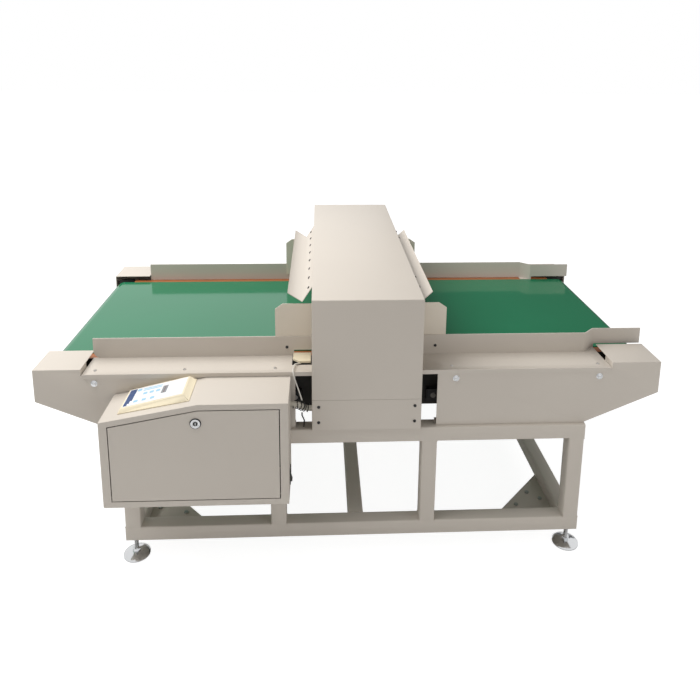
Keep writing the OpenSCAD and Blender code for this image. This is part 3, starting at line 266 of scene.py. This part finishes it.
def round_edges(work, edges, radius, steps=ROUND_STEPS):
    """Rounds the edges by the radius and returns the new faces."""
    return bmesh.ops.bevel(
        work, geom=edges, offset=radius, segments=steps, profile=0.5, affect="EDGES", clamp_overlap=True,
    )["faces"]


def mesh_of(work, name, smooth_angle):
    """The finished mesh, smooth but for edges that are steeper than the angle."""
    mesh = bpy.data.meshes.new(name)
    work.to_mesh(mesh)
    work.free()
    mesh.shade_smooth()
    mesh.set_sharp_from_angle(angle=smooth_angle)
    return mesh


def finish_mesh(work, name, look, smooth_angle=SMOOTH_ANGLE):
    mesh = mesh_of(work, name, smooth_angle)
    mesh.materials.append(look)
    return add_object(name, mesh)


def placed(piece, node, stands_for=False):
    """Ties a piece to a CAD node's body, and hides the node if it stands for it."""
    if stands_for:
        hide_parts(node)
    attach(piece, BODY_OF[node])
    return piece


def mean_width(face):
    """Twice the area over the length of the rim, which for a long strip is its width."""
    rim_length = sum(edge.calc_length() for edge in face.edges)
    return 2 * face.calc_area() / rim_length if rim_length > 0 else 0


def folded(node, look, radius=FOLD_RADIUS, shortest=0.0):
    """A copy of a CAD node with its broad outer edges rounded as sheet is when folded; it stands for the
    node. Edges no longer than the shortest stay sharp, such as the sawn ends of a tube."""
    work = bmesh.new()
    work.from_mesh(frame["nodes"][node].data)
    join_faces(work)
    broad = {face: mean_width(face) > THIN_EDGE for face in work.faces}
    edges = [
        edge for edge in work.edges
        if len(edge.link_faces) == 2 and edge.is_convex and edge.calc_face_angle(0) > LEAST_FOLD
        and edge.calc_length() > shortest
        and all(broad[face] for face in edge.link_faces)
    ]
    if edges and radius > 0:
        round_edges(work, edges, radius)
    return placed(finish_mesh(work, node + "_finished", look), node, True)


for node in (
    "side_cover_front_left", "side_cover_front_right", "side_cover_rear_left", "side_cover_rear_right",
    "rail_plates_front", "rail_plates_rear", "head_hood", "head_lower_panels", "control_box",
    "base_tray", "castor_plates", "guide_plates_front", "guide_plates_rear", "tunnel_flaps",
):
    folded(node, PAINT)
folded("box_door", PAINT, CUT_RADIUS)
for node in ("stand_bottom_rails", "stand_top_rails", "stand_legs", "stand_cross_tubes"):
    folded(node, PAINT, TUBE_RADIUS, shortest=TUBE_END)
folded("tunnel_wings", CREAM_PAINT)

# Welds
# The square tubes are welded at their joints. Each bead is a row of flat round steps along the foot and
# the head of a leg, under the paint. In front and behind, where leg and rail are flush, the weld fills
# the rail's round edge and is ground flat.
WELD_STEP = 2.6 * MM
WELD_RADIUS = 2.1 * MM
WELD_FLAT = 0.55
WELD_SPIN = 0.3
SMALL_SMOOTH_ANGLE = math.radians(35)


def islands(node):
    """The separate solids of a CAD node, always in the same order, each as a bmesh with joined faces."""
    whole = bmesh.new()
    whole.from_mesh(frame["nodes"][node].data)
    join_faces(whole)
    whole.verts.index_update()
    whole.faces.index_update()
    solids = []
    reached = set()
    for start in whole.verts:
        if start in reached:
            continue
        reached.add(start)
        group, waiting = [], [start]
        while waiting:
            vert = waiting.pop()
            group.append(vert)
            for edge in vert.link_edges:
                other = edge.other_vert(vert)
                if other not in reached:
                    reached.add(other)
                    waiting.append(other)
        solid = bmesh.new()
        group.sort(key=lambda vert: vert.index)
        copies = {vert: solid.verts.new(vert.co) for vert in group}
        faces = {face for vert in group for face in vert.link_faces}
        for face in sorted(faces, key=lambda face: face.index):
            solid.faces.new([copies[vert] for vert in face.verts])
        solid.normal_update()
        solids.append(solid)
    whole.free()
    return solids


def box_of(verts):
    """The lowest and the highest corner of the vertices."""
    return [Vector(f(vert.co[k] for vert in verts) for k in range(3)) for f in (min, max)]


def repeat_group():
    """One shape at every point, turned one way, with a random spin about its own axis, in one material."""
    group = bpy.data.node_groups.new("repeat_shape", "GeometryNodeTree")
    for name, kind in (
        ("Places", "Geometry"), ("Shape", "Object"), ("Turn", "Vector"),
        ("Spin", "Float"), ("Look", "Material"),
    ):
        group.interface.new_socket(name, in_out="INPUT", socket_type="NodeSocket" + kind)
    group.interface.new_socket("Pieces", in_out="OUTPUT", socket_type="NodeSocketGeometry")
    nodes, links = group.nodes, group.links
    source, out = nodes.new("NodeGroupInput"), nodes.new("NodeGroupOutput")
    shape = nodes.new("GeometryNodeObjectInfo")
    put = nodes.new("GeometryNodeInstanceOnPoints")
    chance = nodes.new("FunctionNodeRandomValue")
    axis = nodes.new("ShaderNodeCombineXYZ")
    turn = nodes.new("GeometryNodeRotateInstances")
    real = nodes.new("GeometryNodeRealizeInstances")
    paint = nodes.new("GeometryNodeSetMaterial")
    links.new(source.outputs["Shape"], shape.inputs["Object"])
    links.new(source.outputs["Places"], put.inputs["Points"])
    links.new(shape.outputs["Geometry"], put.inputs["Instance"])
    links.new(source.outputs["Turn"], put.inputs["Rotation"])
    links.new(source.outputs["Spin"], chance.inputs["Max"])
    links.new(chance.outputs["Value"], axis.inputs["Z"])
    links.new(put.outputs["Instances"], turn.inputs["Instances"])
    links.new(axis.outputs["Vector"], turn.inputs["Rotation"])
    links.new(turn.outputs["Instances"], real.inputs["Geometry"])
    links.new(real.outputs["Geometry"], paint.inputs["Geometry"])
    links.new(source.outputs["Look"], paint.inputs["Material"])
    links.new(paint.outputs["Geometry"], out.inputs["Pieces"])
    return group


REPEAT = repeat_group()


def repeated(name, places, shape, look, normal=(0, 0, 1), spin=0.0):
    """A plain mesh with the shape at every place, its own Z axis along the normal."""
    points = bpy.data.meshes.new(name + "_places")
    points.from_pydata([tuple(place) for place in places], [], [])
    carrier = add_object(name + "_carrier", points)
    modifier = carrier.modifiers.new("repeat", "NODES")
    modifier.node_group = REPEAT
    turn = Vector(normal).to_track_quat("Z", "Y").to_euler()
    values = {"Shape": shape, "Turn": tuple(turn), "Spin": spin, "Look": look}
    for socket in REPEAT.interface.items_tree:
        if socket.name in values:
            modifier[socket.identifier] = values[socket.name]
    bpy.context.view_layer.update()
    ready = carrier.evaluated_get(bpy.context.evaluated_depsgraph_get())
    mesh = bpy.data.meshes.new_from_object(ready)
    carrier.modifiers.remove(modifier)
    bpy.data.objects.remove(carrier)
    return mesh


def shape_object(name, work):
    """A shape to repeat; it is removed again once its copies are made."""
    return add_object(name, mesh_of(work, name, SMALL_SMOOTH_ANGLE))


def joined(name, meshes, look):
    """One object from several plain meshes of the same material."""
    work = bmesh.new()
    for mesh in meshes:
        work.from_mesh(mesh)
    return finish_mesh(work, name, look, SMALL_SMOOTH_ANGLE)


def pairs(ring_verts):
    """Each vertex of a closed ring with the one after it."""
    return zip(ring_verts, ring_verts[1:] + ring_verts[:1])


def bridge(work, lower, upper):
    """The wall between two rings of as many vertices."""
    for (a, b), (c, d) in zip(pairs(lower), pairs(upper)):
        work.faces.new((a, b, d, c))


work = bmesh.new()
flatten = Matrix.Scale(WELD_FLAT, 4, (1, 0, 0))
bmesh.ops.create_icosphere(work, subdivisions=1, radius=WELD_RADIUS, matrix=flatten)
weld_step = shape_object("weld_step", work)
weld_places = []
ground = bmesh.new()
for leg in islands("stand_legs"):
    low, high = box_of(leg.verts)
    for y, inward in ((low.y, TUBE_RADIUS), (high.y, -TUBE_RADIUS)):
        for z, outward in ((low.z, -TUBE_RADIUS), (high.z, TUBE_RADIUS)):
            corners = ((y, z), (y + inward, z), (y, z + outward))
            ends = [[ground.verts.new((x, *corner)) for corner in corners] for x in (low.x, high.x)]
            bridge(ground, *ends)
            for end in ends:
                ground.faces.new(end)
    steps = int((high.y - low.y) / WELD_STEP)
    for x in (low.x, high.x):
        for z in (low.z, high.z):
            weld_places += [(x, low.y + (i + 0.5) * WELD_STEP, z) for i in range(steps)]
    leg.free()
beads = repeated("leg_welds", weld_places, weld_step, PAINT, spin=WELD_SPIN)
placed(joined("leg_welds", [beads], PAINT), "stand_legs")
bmesh.ops.recalc_face_normals(ground, faces=ground.faces)
placed(finish_mesh(ground, "ground_welds", PAINT), "stand_legs")
bpy.data.objects.remove(weld_step)

# Belt, slide beds and rollers
# The belt is a green plastic belt with a very smooth top that mirrors its surroundings. It slides on
# laminate boards whose edges show beside it. Their brown is partly their own colour and partly painted
# shade and painted reflection in the gap beside the belt, and the belt turns over bright steel rollers.
BELT_REFRACTION = 1.52
belt_look = finish(
    "belt_green", (0.016, 0.185, 0.085), (0.014, 0.160, 0.072), 0.10, grain=260.0, bump=0.02, spread=0.03,
)
belt_look.node_tree.nodes["Principled BSDF"].inputs["IOR"].default_value = BELT_REFRACTION
folded("conveyor_belt", belt_look, SHARP)
# The board's brown also paints the shade and reflected colour in the gap beside the belt.
bed_board_shade_and_reflection_look = finish(
    "bed_laminate", (0.42, 0.145, 0.050), (0.30, 0.095, 0.032), 0.42, grain=420.0, cloud=14.0, bump=0.2,
)
folded("slide_beds", bed_board_shade_and_reflection_look, SHARP)
steel_look = finish(
    "bright_steel", (0.62, 0.62, 0.61), (0.54, 0.54, 0.53), 0.30, metal=1.0, grain=500.0, bump=0.05,
)
for node in ("drive_roller", "tail_roller", "snub_roller_left", "snub_roller_right", "motor_pulley"):
    folded(node, steel_look, SHARP)
plate_look = finish(
    "plain_steel", (0.42, 0.42, 0.41), (0.34, 0.34, 0.33), 0.45, metal=0.9, grain=300.0, bump=0.1,
)
for node in ("bed_cross_members", "head_posts"):
    folded(node, plate_look, SHARP)
# The side plates are dark paint, made near black so that they also give the deep shade inside the frame
# between head, box and covers: partly their own colour and partly painted shade.
side_plate_shade_look = finish(
    "side_plate_dark", (0.040, 0.037, 0.034), (0.028, 0.026, 0.024), 0.5, metal=0.3, grain=300.0, bump=0.15,
)
folded("side_plates", side_plate_shade_look, SHARP)

# Drive
# A geared motor under the top run turns the right roller through a toothed belt behind the back plate.
# The bearings are cast blocks, and screws before the left pair stretch the belt.
cast_look = finish(
    "cast_black", (0.035, 0.035, 0.036), (0.022, 0.022, 0.023), 0.55, grain=350.0, bump=0.35,
)
for node in ("roller_bearings", "gear_motor"):
    folded(node, cast_look, SHARP)
toothed_look = finish(
    "toothed_rubber", (0.018, 0.018, 0.018), (0.012, 0.012, 0.012), 0.75, grain=700.0, bump=0.3,
)
folded("drive_belt", toothed_look, SHARP)

# Sensors and electronics
# Each sensor is a closed painted case. The boards, the supply and the amplifier box are plain and sit
# behind the door and in the back of the head.
SENSOR_RADIUS = 0.8 * MM
sensor_look = finish("sensor_case", (0.50, 0.47, 0.41), (0.45, 0.42, 0.37), 0.5, grain=500.0)
for node in ("upper_sensor", "lower_sensor"):
    folded(node, sensor_look, SENSOR_RADIUS)
board_green = finish(
    "board_green", (0.020, 0.125, 0.055), (0.012, 0.085, 0.038), 0.35, grain=260.0, cloud=40.0, bump=0.25,
)
folded("electronics", board_green, SHARP)

# Feet and castors
# The feet are pressed and chromed pads with a hexagon and a threaded spindle, whose fine thread is in
# the material. The castors have zinc forks and off-white nylon wheels, just clear of the floor.
THREAD_PITCH = 1.75 * MM
THREAD_RADIUS = 6.4 * MM
UPRIGHT_NORMAL = 0.1
chrome_look = finish(
    "chrome", (0.72, 0.73, 0.74), (0.64, 0.65, 0.66), 0.12, metal=1.0, grain=200.0, bump=0.02, spread=0.04,
)
thread_look = finish(
    "thread", (0.60, 0.60, 0.60), (0.50, 0.50, 0.50), 0.25, metal=1.0, grain=300.0, bump=0.05,
)
zinc_look = finish(
    "zinc", (0.50, 0.50, 0.49), (0.38, 0.38, 0.38), 0.34, metal=1.0, grain=300.0, cloud=30.0, bump=0.08,
)
nylon_look = finish("nylon", (0.72, 0.65, 0.46), (0.66, 0.58, 0.39), 0.42, grain=400.0, bump=0.05)
nodes, links = thread_look.node_tree.nodes, thread_look.node_tree.links
height = nodes.new("ShaderNodeSeparateXYZ")
turns = nodes.new("ShaderNodeMath")
turns.operation = "PINGPONG"
turns.inputs[1].default_value = THREAD_PITCH / 2
ridge = nodes.new("ShaderNodeBump")
ridge.inputs["Distance"].default_value = 1.0
place = nodes.new("ShaderNodeTexCoord")
links.new(place.outputs["Object"], height.inputs[0])
links.new(height.outputs["Z"], turns.inputs[0])
links.new(turns.outputs[0], ridge.inputs["Height"])
links.new(ridge.outputs["Normal"], nodes["Principled BSDF"].inputs["Normal"])
for corner in ("fl", "fr", "rl", "rr"):
    foot = folded("levelling_foot_" + corner, chrome_look, SHARP)
    foot.data.materials.append(thread_look)
    low, high = box_of(foot.data.vertices)
    axis = (low + high) / 2
    for face in foot.data.polygons:
        if abs(face.normal.z) < UPRIGHT_NORMAL and (face.center - axis).xy.length < THREAD_RADIUS:
            face.material_index = 1
    folded("castor_fork_" + corner, zinc_look, SHARP)
    folded("castor_wheel_" + corner, nylon_look, SHARP)
folded("castor_mounts", zinc_look, SHARP)
folded("castor_bolts", zinc_look, SHARP)
folded("belt_tensioners", chrome_look, SHARP)

# Screws
# Pan-head screws with a cross recess: bright ones hold the rail plates, and black ones hold the guides,
# the lower front panel and the flaps. A head ends level with the widest face of its CAD screw, and
# areas within SAME_SCREW_AREA, in square metres, count as equal.
SCREW_RADIUS = 4.5 * MM
SCREW_HEIGHT = 2.5 * MM
SCREW_SPIN = 6.28
HEAD_PROFILE = ((1, 0), (1, 0.3), (0.93, 0.66), (0.78, 0.9), (0.62, 1))
CROSS_ARM = 0.5 * SCREW_RADIUS
CROSS_HALF_WIDTH = 0.11 * SCREW_RADIUS
CROSS_TAPER = 0.7
CROSS_FLOOR = 0.35 * SCREW_HEIGHT
RING_STEPS = 24
SAME_SCREW_AREA = 1e-8
LEVEL_NORMAL = 0.3
UPWARD_NORMAL = 0.99
OUTER_SCREW = 200 * MM


def ring(work, radius, height, steps):
    angles = [2 * math.pi * k / steps for k in range(steps)]
    return [work.verts.new((radius * math.cos(a), radius * math.sin(a), height)) for a in angles]


def turned(work, profile, radius, height, steps=RING_STEPS):
    """A wall round the Z axis and its top ring. The profile gives shares of the radius and the height."""
    rings = [ring(work, radius * r, height * h, steps) for r, h in profile]
    for lower, upper in zip(rings, rings[1:]):
        bridge(work, lower, upper)
    return rings[-1]


def pan_head():
    work = bmesh.new()
    top = turned(work, HEAD_PROFILE, SCREW_RADIUS, SCREW_HEIGHT)
    half, end = CROSS_HALF_WIDTH, CROSS_ARM
    outline = []
    for quarter in range(4):
        spin = Matrix.Rotation(math.radians(90 * quarter), 3, "Z")
        outline += [spin @ Vector(p) for p in ((half, -half, 0), (end, -half, 0), (end, half, 0))]
    cross = [work.verts.new((p.x, p.y, SCREW_HEIGHT)) for p in outline]
    edges = [work.edges.new(pair) for pair in pairs(cross)]
    edges += [work.edges.get(pair) for pair in pairs(top)]
    bmesh.ops.triangle_fill(work, edges=edges, normal=(0, 0, 1))
    deep = [work.verts.new((p.x * CROSS_TAPER, p.y * CROSS_TAPER, CROSS_FLOOR)) for p in outline]
    bridge(work, cross, deep)
    work.faces.new(deep)
    bmesh.ops.recalc_face_normals(work, faces=work.faces)
    return shape_object("pan_head", work)


def screw_faces(node):
    """The middle and the outward direction of each screw's widest face. A level screw that is far from
    the belt's middle faces straight to the front or to the rear."""
    result = []
    for solid in islands(node):
        low, high = box_of(solid.verts)
        middle = (low + high) / 2
        inward = Vector((0, BELT_MIDDLE_Y * MM - middle.y, 0))
        face = max(
            solid.faces,
            key=lambda f: (round(f.calc_area() / SAME_SCREW_AREA), f.normal.z, f.normal.dot(inward)),
        )
        spot, normal = face.calc_center_median(), face.normal.copy()
        if abs(normal.z) < LEVEL_NORMAL and abs(inward.y) > OUTER_SCREW:
            at_front = inward.y > 0
            normal = Vector((0, -1 if at_front else 1, 0))
            spot = Vector((middle.x, low.y if at_front else high.y, middle.z))
        result.append((spot, normal))
        solid.free()
    return result


bright_screw = finish(
    "screw_bright", (0.58, 0.56, 0.53), (0.48, 0.46, 0.44), 0.3, metal=0.85, grain=600.0, bump=0.05,
)
black_screw = finish(
    "screw_black", (0.020, 0.020, 0.020), (0.012, 0.012, 0.012), 0.35, grain=600.0, bump=0.05,
)
head_shape = pan_head()
groups = {}
for spot, normal in screw_faces("small_screws"):
    look = bright_screw if normal.z > UPWARD_NORMAL else black_screw
    way = tuple(round(c, 3) for c in normal)
    groups.setdefault((look.name, way), []).append(spot - normal * SCREW_HEIGHT)
for look in (bright_screw, black_screw):
    rows = [
        repeated("screws", places, head_shape, look, way, spin=SCREW_SPIN)
        for (name, way), places in groups.items() if name == look.name
    ]
    placed(joined(look.name + "s", rows, look), "small_screws", look is bright_screw)
bpy.data.objects.remove(head_shape)

# Cover bolts
# Each side cover is held by two chromed hexagon nuts with a domed end on a thin washer. A nut is built
# up from its foot, and its three profiles give shares of the radius at its corners and of its height.
NUT_CORNER = 9.5 * MM
NUT_HEIGHT = 6.0 * MM
NUT_SIDES = 6
NUT_SPIN = 1.05
WASHER_PROFILE = ((1.0, 0), (1.0, 0.1), (0.96, 0.14))
FLATS_PROFILE = ((0.86, 0.14), (0.86, 0.62), (0.74, 0.72))
DOME_PROFILE = ((0.64, 0.7), (0.6, 0.84), (0.46, 0.94), (0.24, 0.99), (0.05, 1))
work = bmesh.new()
for profile, sides in (
    (WASHER_PROFILE, RING_STEPS), (FLATS_PROFILE, NUT_SIDES), (DOME_PROFILE, RING_STEPS),
):
    work.faces.new(turned(work, profile, NUT_CORNER, NUT_HEIGHT, sides))
nut_shape = shape_object("cap_nut", work)
nut_rows = {}
for bolt in islands("cover_bolts"):
    low, high = box_of(bolt.verts)
    middle = (low + high) / 2
    at_front = middle.y < BELT_MIDDLE_Y * MM
    foot_y = low.y + NUT_HEIGHT if at_front else high.y - NUT_HEIGHT
    way = (0, -1 if at_front else 1, 0)
    nut_rows.setdefault(way, []).append(Vector((middle.x, foot_y, middle.z)))
    bolt.free()
nuts = [
    repeated("nuts", places, nut_shape, chrome_look, way, spin=NUT_SPIN) for way, places in nut_rows.items()
]
placed(joined("cover_cap_nuts", nuts, chrome_look), "cover_bolts", True)
bpy.data.objects.remove(nut_shape)

# Cam lock
# A chromed ring with a black outer edge round a sunk black barrel, whose keyhole has a bright plate. The
# tongue behind the door is part of it. The steps go from the ring inward, each with its width and rise.
LOCK_STEPS = ((6.5 * MM, 0.0), (0.8 * MM, -1.3 * MM), (0.7 * MM, 0.0), (0.5 * MM, 0.6 * MM))
RIM_RADIUS = 2.4 * MM
KEYHOLE_PLATE = Vector((1.6, 0.5, 7.5)) * MM
SAME_DEPTH = 0.01 * MM
work = bmesh.new()
work.from_mesh(frame["nodes"]["cam_lock"].data)
join_faces(work)
face = min(work.faces, key=lambda f: (round(f.calc_center_median().y / SAME_DEPTH), -f.calc_area()))
rim = list(face.edges)
for width, rise in LOCK_STEPS:
    bmesh.ops.inset_individual(work, faces=[face], thickness=width, depth=rise)
middle = face.calc_center_median()
face.material_index = 1
for rim_face in round_edges(work, rim, RIM_RADIUS):
    rim_face.material_index = 1
for vert in bmesh.ops.create_cube(work, size=1.0)["verts"]:
    vert.co = middle + vert.co * KEYHOLE_PLATE
lock = finish_mesh(work, "cam_lock_finished", chrome_look)
lock.data.materials.append(black_screw)
placed(lock, "cam_lock", True)

# Keypad
# A moulded cream housing stands on the sloping top, with a white film on it. The film has a dark
# window on its left, pale blue key fields and a grey bar of lamps, and nothing is written on it. All
# places on it are shares of its length and of its width, from its upper left corner.
HOUSING_RADIUS = 1.2 * MM
FILM_RISE = 0.12 * MM
KEY_RISE = 0.45 * MM
KEY_SIZE = (11.5 * MM, 10.5 * MM)
KEY_CORNER = 0.22
KEY_CORNER_STEPS = 4
KEY_PLACES = (
    (0.18, 0.14), (0.31, 0.42), (0.42, 0.42), (0.53, 0.42), (0.20, 0.80), (0.34, 0.80), (0.48, 0.80),
)
WINDOW = (
    (0.01, 0.03), (0.125, 0.03), (0.125, 0.72), (0.095, 0.72),
    (0.095, 0.86), (0.07, 0.86), (0.07, 0.97), (0.01, 0.97),
)
BAR = ((0.60, 0.22), (0.69, 0.22), (0.69, 0.66), (0.60, 0.66))
STRIPE_ENDS = (0.25, 0.57)
STRIPE_ROWS = (0.10, 0.19)
STRIPE_WIDTH = 0.05
LAMP_RADIUS = 1.1 * MM
LAMP_PLACES = [(0.645, 0.28 + 0.064 * i) for i in range(6)]
SAME_FILM_AREA = 1e-7
cream_look = finish("cream_abs", (0.80, 0.71, 0.52), (0.75, 0.66, 0.48), 0.38, grain=800.0, bump=0.1)
film_look = finish("white_film", (0.80, 0.80, 0.80), (0.76, 0.76, 0.77), 0.28, grain=500.0, bump=0.03)
window_look = finish(
    "window_navy", (0.055, 0.095, 0.220), (0.045, 0.078, 0.190), 0.18, grain=400.0, bump=0.02,
)
key_look = finish("key_blue", (0.33, 0.58, 0.74), (0.28, 0.52, 0.68), 0.3, grain=500.0, bump=0.05)
bar_look = finish("bar_grey", (0.26, 0.27, 0.28), (0.22, 0.23, 0.24), 0.3, grain=500.0, bump=0.05)
folded("keypad_housing", cream_look, HOUSING_RADIUS)
folded("keypad_overlay", film_look, SHARP)
film_solid = islands("keypad_overlay")[0]
film = max(film_solid.faces, key=lambda f: (round(f.calc_area() / SAME_FILM_AREA), f.normal.z))
corners = sorted((vert.co.copy() for vert in film.verts), key=lambda c: c.x)
film_origin = max(corners[:2], key=lambda c: c.y)
film_u = max(corners[2:], key=lambda c: c.y) - film_origin
film_w = min(corners[:2], key=lambda c: c.y) - film_origin
film_normal = film.normal.copy()
film_solid.free()


def on_film(u, w, rise=0.0):
    return film_origin + film_u * u + film_w * w + film_normal * rise


def film_patch(name, outline, look):
    """A thin printed field with the given outline."""
    work = bmesh.new()
    low = [work.verts.new(on_film(u, w)) for u, w in outline]
    high = [work.verts.new(on_film(u, w, FILM_RISE)) for u, w in outline]
    bridge(work, low, high)
    work.faces.new(high)
    bmesh.ops.recalc_face_normals(work, faces=work.faces)
    return placed(finish_mesh(work, name, look), "keypad_overlay")


film_patch("keypad_window", WINDOW, window_look)
film_patch("keypad_bar", BAR, bar_look)
for number, row in enumerate(STRIPE_ROWS):
    start, stop = STRIPE_ENDS
    stripe = ((start, row), (stop, row), (stop, row + STRIPE_WIDTH), (start, row + STRIPE_WIDTH))
    film_patch("keypad_stripe_%d" % number, stripe, key_look)
work = bmesh.new()
bmesh.ops.create_cube(work, size=1.0)
uprights = [edge for edge in work.edges if abs((edge.verts[0].co - edge.verts[1].co).z) > 0.5]
round_edges(work, uprights, KEY_CORNER, KEY_CORNER_STEPS)
for vert in work.verts:
    vert.co = Vector((vert.co.x * KEY_SIZE[0], vert.co.y * KEY_SIZE[1], (vert.co.z + 0.5) * KEY_RISE))
key_shape = shape_object("key", work)
key_spots = [on_film(u, w) for u, w in KEY_PLACES]
tilt = Vector((0, 0, 1)).rotation_difference(film_normal).to_matrix().to_4x4()
work = bmesh.new()
work.from_mesh(repeated("keys", key_spots, key_shape, key_look))
size = len(work.verts) // len(key_spots)
work.verts.ensure_lookup_table()
for number, spot in enumerate(key_spots):
    around = Matrix.Translation(spot) @ tilt @ Matrix.Translation(-spot)
    bmesh.ops.transform(work, matrix=around, verts=work.verts[number * size:(number + 1) * size])
placed(finish_mesh(work, "keypad_keys", key_look), "keypad_overlay")
work = bmesh.new()
bmesh.ops.create_icosphere(work, subdivisions=2, radius=LAMP_RADIUS)
lamp_shape = shape_object("lamp", work)
lamp_look = finish("lamp_red", (0.30, 0.030, 0.020), (0.22, 0.020, 0.015), 0.2, grain=300.0, bump=0.02)
lamps = repeated("lamps", [on_film(u, w) for u, w in LAMP_PLACES], lamp_shape, lamp_look)
placed(joined("keypad_lamps", [lamps], lamp_look), "keypad_overlay")
for shape in (key_shape, lamp_shape):
    bpy.data.objects.remove(shape)

# Photocell and rocker switch
# The photocell is a small moulded case beside the guide, a cream lid on a near-black body. The body's black
# is partly its own colour and partly painted shade for the dark band under the lid. The switch is a black
# snap-in frame with its rocker.
CELL_LID = 6.2 * MM
CELL_RADIUS = 0.8 * MM
cell_body = finish("cell_body", (0.034, 0.030, 0.026), (0.026, 0.023, 0.020), 0.45, grain=500.0, bump=0.1)
cell = folded("photocell", cream_look, CELL_RADIUS)
cell.data.materials.append(cell_body)
cell_top = box_of(cell.data.vertices)[1].z
# Faces below the lid take the near-black body colour, which also paints the shade under the lid.
for face in cell.data.polygons:
    if face.center.z < cell_top - CELL_LID:
        face.material_index = 1
switch_look = finish(
    "switch_black", (0.012, 0.012, 0.012), (0.008, 0.008, 0.008), 0.30, grain=600.0, bump=0.05,
)
for node in ("rocker_switch", "rocker_key"):
    folded(node, switch_look, SHARP)

# Cable loom
# A pale bundle in a black spiral wrap runs in two bends from the box to the head. A thin white lead
# comes down to it from the photocell, and a thin black one leaves it for the frame. The leads are told
# by how far up or down they reach, and the wrap because it stops short of the bundle's ends.
PHOTOCELL_LEAD_ABOVE = 560 * MM
FRAME_LEAD_BELOW = 430 * MM
WRAP_WITHIN = 55 * MM
CABLE_SMOOTH_ANGLE = math.radians(60)
bundle_look = finish(
    "bundle_beige", (0.50, 0.47, 0.40), (0.40, 0.37, 0.31), 0.5, grain=600.0, cloud=60.0, bump=0.2,
)
wrap_look = finish("wrap_black", (0.014, 0.014, 0.014), (0.010, 0.010, 0.010), 0.4, grain=600.0, bump=0.1)
lead_look = finish("lead_white", (0.72, 0.69, 0.63), (0.66, 0.63, 0.57), 0.4, grain=700.0, bump=0.05)
for solid in islands("cable_loom"):
    low, high = box_of(solid.verts)
    if high.z > PHOTOCELL_LEAD_ABOVE:
        name, look = "photocell_lead", lead_look
    elif low.z < FRAME_LEAD_BELOW:
        name, look = "frame_lead", wrap_look
    elif high.x - low.x < WRAP_WITHIN:
        name, look = "loom_wrap", wrap_look
    else:
        name, look = "loom_core", bundle_look
    piece = finish_mesh(solid, name, look, CABLE_SMOOTH_ANGLE)
    placed(piece, "cable_loom", name == "loom_wrap")
